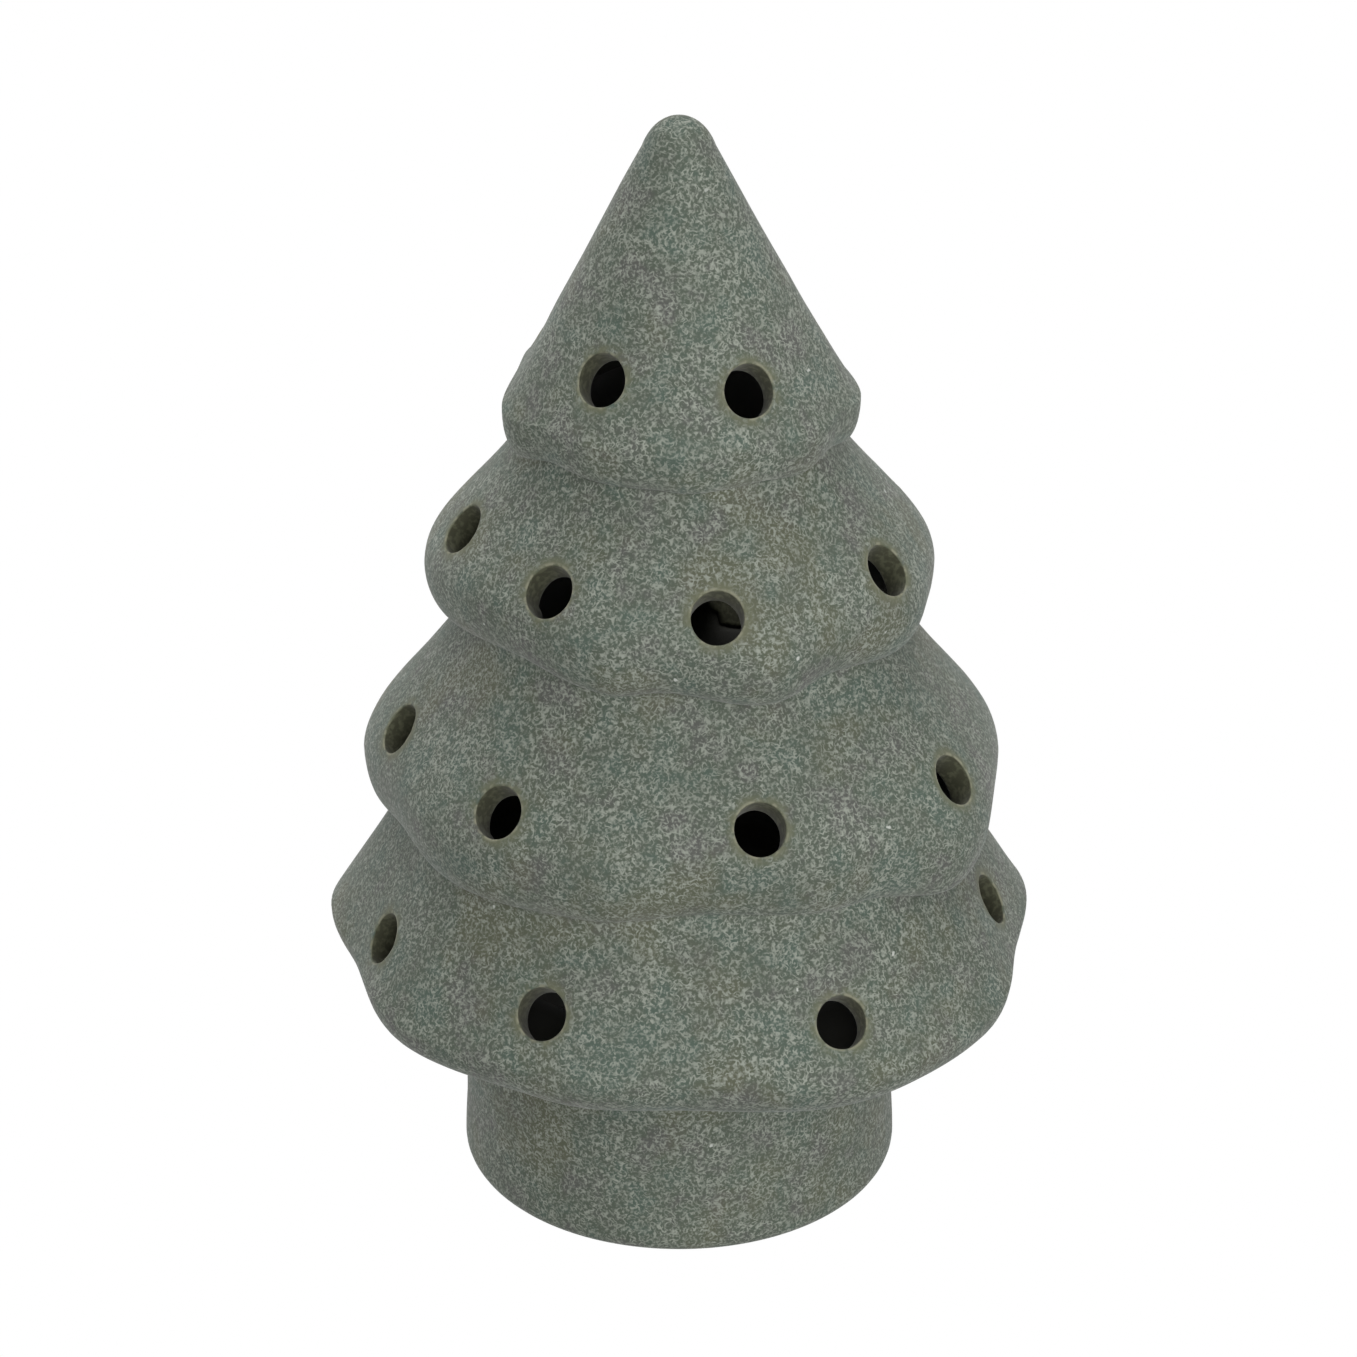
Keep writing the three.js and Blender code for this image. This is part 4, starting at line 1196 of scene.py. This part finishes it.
@dataclass
class Tealight:
    """The battery tealight under the tree, in millimetres."""

    radius: float = 19.0
    top_radius: float = 18.6
    height: float = 17.0
    wall: float = 1.3
    pool_floor: float = 14.8
    ceiling: float = 13.4
    flame_hole: float = 4.6
    ledge_at: float = 3.1
    cell_middle: float = -4.6
    cell_radius: float = 10.0
    cell_bottom: float = 2.7
    cell_top: float = 5.9
    lens_radius: float = 2.5
    lens_bottom: float = 13.0
    lens_top: float = 21.6
    flame_bottom: float = 12.2
    flame_top: float = 35.4
    flame_bend: float = 0.9

    def housing(self) -> BMesh:
        """Turn the cup, with a sunken top like set wax.

        Returns:
            The cup.
        """
        bore = self.radius - self.wall
        return Turning((
            (bore + 0.5, 0.0, 0.15),
            (self.radius, 0.0, 0.35),
            (self.top_radius, self.height, 0.55),
            (self.top_radius - self.wall, self.height, 0.55),
            (self.top_radius - self.wall - 0.75, self.pool_floor + 0.35, 1.2),
            (self.flame_hole + 4.5, self.pool_floor, 3.0),
            (self.flame_hole, self.pool_floor, 0.25),
            (self.flame_hole, self.ceiling, 0.2),
            (bore - 0.5, self.ceiling, 0.6),
            (bore - 0.5, self.ledge_at, 0.1),
            (bore, self.ledge_at, 0.1),
            (bore, 0.6, 0.0),
            (bore - 0.45, 0.5, 0.08),
            (bore - 0.45, 0.3, 0.08),
        ), closed=True, columns=128).shape()

    def flame(self) -> BMesh:
        """Turn the hollow flame cap and bend its point a little.

        Returns:
            The cap.
        """
        skirt, top = self.pool_floor + 0.3, self.flame_top
        drop = interpolate_bezier(Vector((4.3, skirt + 0.8)), Vector((5.7, skirt + 5.8)),
                                  Vector((3.6, skirt + 13.2)), Vector((0.9, top - 0.9)), 28)
        bm = Turning((
            (0.0, top, 0.0), (0.55, top - 0.25, 0.0),
            *((p.x, p.y, 0.0) for p in reversed(drop)),
            (5.6, skirt + 0.8, 0.25), (5.6, skirt, 0.25), (4.3, skirt, 0.1),
            (4.3, self.flame_bottom + 0.9, 0.1), (4.9, self.flame_bottom + 0.9, 0.1),
            (4.3, self.flame_bottom, 0.1), (3.3, self.flame_bottom, 0.15),
            (3.3, 24.7, 1.2), (0.0, 28.0, 0.0),
        ), columns=72).shape()
        foot = self.pool_floor + 2.2
        for vert in bm.verts:
            rise = max(0.0, (vert.co.z - foot) / (top - foot))
            vert.co.x += self.flame_bend * rise * rise
            vert.co.y *= 1.0 - 0.12 * smooth_step(0.0, 0.6, rise)
        return bm

    def cell(self) -> BMesh:
        """Turn the coin cell: can, crimp, gasket groove and cap.

        Returns:
            The cell.
        """
        low, high, r = self.cell_bottom, self.cell_top, self.cell_radius
        return Turning((
            (0.0, low, 0.0), (r - 1.3, low, 0.1), (r - 1.15, low + 0.06, 0.05),
            (r - 0.9, low, 0.1), (r, low, 0.45), (r, high - 0.55, 0.3),
            (r - 0.85, high - 0.42, 0.15), (r - 0.95, high - 0.85, 0.08),
            (r - 1.2, high - 0.85, 0.08), (r - 1.25, high, 0.3), (0.0, high, 0.0),
        ), middle=self.cell_middle).shape()

    def lens(self) -> BMesh:
        """Turn the light source's body, with the flat on its flange.

        Returns:
            The body.
        """
        low, high, r = self.lens_bottom, self.lens_top, self.lens_radius
        dome = ((r * math.cos(math.radians(a)), high - r + r * math.sin(math.radians(a)), 0.0)
                for a in range(0, 90, 9))
        bm = Turning(((0.0, low, 0.0), (r + 0.4, low, 0.1), (r + 0.4, low + 1.0, 0.15),
                      (r, low + 1.0, 0.1), *dome, (0.0, high, 0.0)), columns=64).shape()
        for vert in bm.verts:
            vert.co.x = max(vert.co.x, -(r + 0.05))
        return bm

    def build(self) -> None:
        """Make every piece of the light and tie it to its body."""
        kinds = (
            MouldedPlastic("ivory_plastic", (0.815, 0.775, 0.655)),
            MouldedPlastic("flame_plastic", (0.86, 0.72, 0.46), 0.34, 0.55),
            MouldedPlastic("black_plastic", (0.016, 0.016, 0.017), 0.5),
            PlatedMetal("plated_steel", (0.55, 0.55, 0.55), (0.38, 0.36, 0.33)),
            PlatedMetal("cell_steel", (0.60, 0.60, 0.61), (0.47, 0.46, 0.44), 0.20),
            PlatedMetal("spring_brass", (0.66, 0.53, 0.30), (0.45, 0.33, 0.17), 0.30),
            PlatedMetal("tinned_lead", (0.60, 0.61, 0.58), (0.44, 0.44, 0.42), 0.34),
            PlatedMetal("switch_steel", (0.52, 0.53, 0.52), (0.38, 0.37, 0.35), 0.28),
        )
        finishes = {kind.name: kind.make() for kind in kinds}
        finishes |= {"amber_epoxy": AmberEpoxy().make(), "green_board": BoardLacquer().make()}
        light = Body.LIGHT
        for shape, name, slot, node in (
            (self.housing(), "housing_moulding", "ivory_plastic", "light_housing"),
            (self.flame(), "flame_moulding", "flame_plastic", "flame_tip"),
            (self.cell(), "coin_cell_can", "cell_steel", "coin_cell"),
            (self.lens(), "lens_casting", "amber_epoxy", "led_lens"),
        ):
            settle(finish_piece(shape, name, finishes[slot], SHARP_OVER), light, node)
        for row in (
            ("base_plate", "base_moulding", light, "ivory_plastic", 0.15),
            ("battery_door", "door_moulding", Body.DOOR, "ivory_plastic", 0.15),
            ("door_screw", "door_screw_turned", Body.DOOR, "plated_steel", 0.09),
            ("board_screw_left", "left_screw_turned", light, "plated_steel", 0.09),
            ("board_screw_right", "right_screw_turned", light, "plated_steel", 0.09),
            ("positive_contact", "side_leaf", light, "spring_brass", 0.06),
            ("negative_contact", "cap_strip", light, "spring_brass", 0.06),
            ("circuit_board", "board_blank", light, "green_board", 0.08),
            ("timer_chip", "chip_moulding", light, "black_plastic", 0.08),
            ("led_leg_positive", "long_leg", light, "tinned_lead", 0.05),
            ("led_leg_negative", "short_leg", light, "tinned_lead", 0.05),
            ("switch_case", "switch_can", light, "switch_steel", 0.08),
            ("switch_slider", "slider_moulding", Body.SWITCH, "black_plastic", 0.08),
        ):
            dressing = Dressing(*row)
            dressing.dress(finishes[dressing.slot])


@dataclass
class Studio:
    """Camera, lamps, floor and white surroundings, in metres and degrees."""

    elevation: float = 29.1
    distance: float = 1.0
    aim: Triple = (-0.00012, 0.0, 0.0752)
    focal_length: float = 192.3
    sensor: float = 36.0
    world_light: float = 0.22
    floor_white: float = 0.90
    floor_size: float = 3.0
    lamps_aim: float = 0.08
    lamps: tuple[tuple[str, Triple, float, float], ...] = (
        ("front_lamp", (0.15, -1.0, 0.65), 0.7, 4.3),
        ("low_lamp", (0.0, -1.0, 0.20), 0.7, 4.0),
        ("right_lamp", (0.9, -0.5, 0.25), 0.7, 3.0),
        ("rim_lamp", (-0.9, 0.6, 0.40), 0.8, 3.6),
        ("top_lamp", (0.0, 0.35, 1.2), 0.8, 7.5),
    )

    def build(self) -> None:
        """Put up the whole studio."""
        self.place_camera()
        self.lay_floor()
        self.light_world()
        for name, place, size, power in self.lamps:
            self.soft_box(name, Vector(place), size, power)
        bpy.context.scene.view_settings.view_transform = "Standard"

    def place_camera(self) -> None:
        """Look down at the tree from the front."""
        lens = bpy.data.cameras.new("camera")
        lens.lens = self.focal_length
        lens.sensor_width = self.sensor
        lens.clip_start = 0.01
        camera = add_object("camera", lens)
        tilt = math.radians(self.elevation)
        back = Vector((0.0, -math.cos(tilt), math.sin(tilt)))
        camera.location = Vector(self.aim) + back * self.distance
        camera.rotation_euler = (math.pi / 2.0 - tilt, 0.0, 0.0)
        bpy.context.scene.camera = camera

    def seen(self, sheet: ShaderSheet) -> Wire:
        """Mask of the rays that show the surroundings: the camera's, a gloss's or a glass's."""
        ray = sheet.node("ShaderNodeLightPath", output="Is Camera Ray")
        return ray.max(ray.output("Is Glossy Ray")).max(ray.output("Is Transmission Ray"))

    def lay_floor(self) -> None:
        """Lay a pale floor that shows white, keeps a soft shadow and can't be seen from below."""
        sheet = ShaderSheet.material("pale_floor")
        paper = sheet.node("ShaderNodeBsdfDiffuse", {"Color": (0.82, 0.82, 0.82)})
        white = sheet.node("ShaderNodeEmission", {"Strength": 1.0})
        share = self.seen(sheet) * self.floor_white
        top = sheet.node("ShaderNodeMixShader", {0: share, 1: paper, 2: white})
        below = sheet.node("ShaderNodeNewGeometry", output="Backfacing")
        clear = sheet.node("ShaderNodeBsdfTransparent")
        shown = sheet.node("ShaderNodeMixShader", {0: below, 1: top, 2: clear})
        sheet.node("ShaderNodeOutputMaterial", {"Surface": shown})
        bm = bmesh.new()
        bmesh.ops.create_grid(bm, x_segments=1, y_segments=1, size=self.floor_size)
        finish_piece(bm, "floor", sheet.owner)

    def light_world(self) -> None:
        """Surround the tree with white for the eye and a soft grey for its light."""
        world = bpy.data.worlds.new("surroundings")
        bpy.context.scene.world = world
        sheet = ShaderSheet(world)
        white = {"Color": (1.0, 1.0, 1.0), "Strength": 1.0}
        light = sheet.node("ShaderNodeBackground", white | {"Strength": self.world_light})
        backdrop = sheet.node("ShaderNodeBackground", white)
        shown = sheet.node("ShaderNodeMixShader", {0: self.seen(sheet), 1: light, 2: backdrop})
        sheet.node("ShaderNodeOutputWorld", {"Surface": shown})

    def soft_box(self, name: str, place: Vector, size: float, power: float) -> None:
        """Hang one square lamp that faces the tree.

        Args:
            name: The lamp's name.
            place: Where it hangs.
            size: Its side in metres.
            power: Its power in watts.
        """
        lamp = bpy.data.lights.new(name, "AREA")
        lamp.size = size
        lamp.energy = power
        hung = add_object(name, lamp)
        hung.location = place
        back = place - Vector((0.0, 0.0, self.lamps_aim))
        hung.rotation_euler = back.to_track_quat("Z", "Y").to_euler()


def main() -> None:
    """Dress the frame."""
    logging.basicConfig(level=logging.INFO, format="%(name)s: %(message)s")
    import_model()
    Studio().build()
    TreeShell().build()
    Tealight().build()


if __name__ == "__main__":
    main()
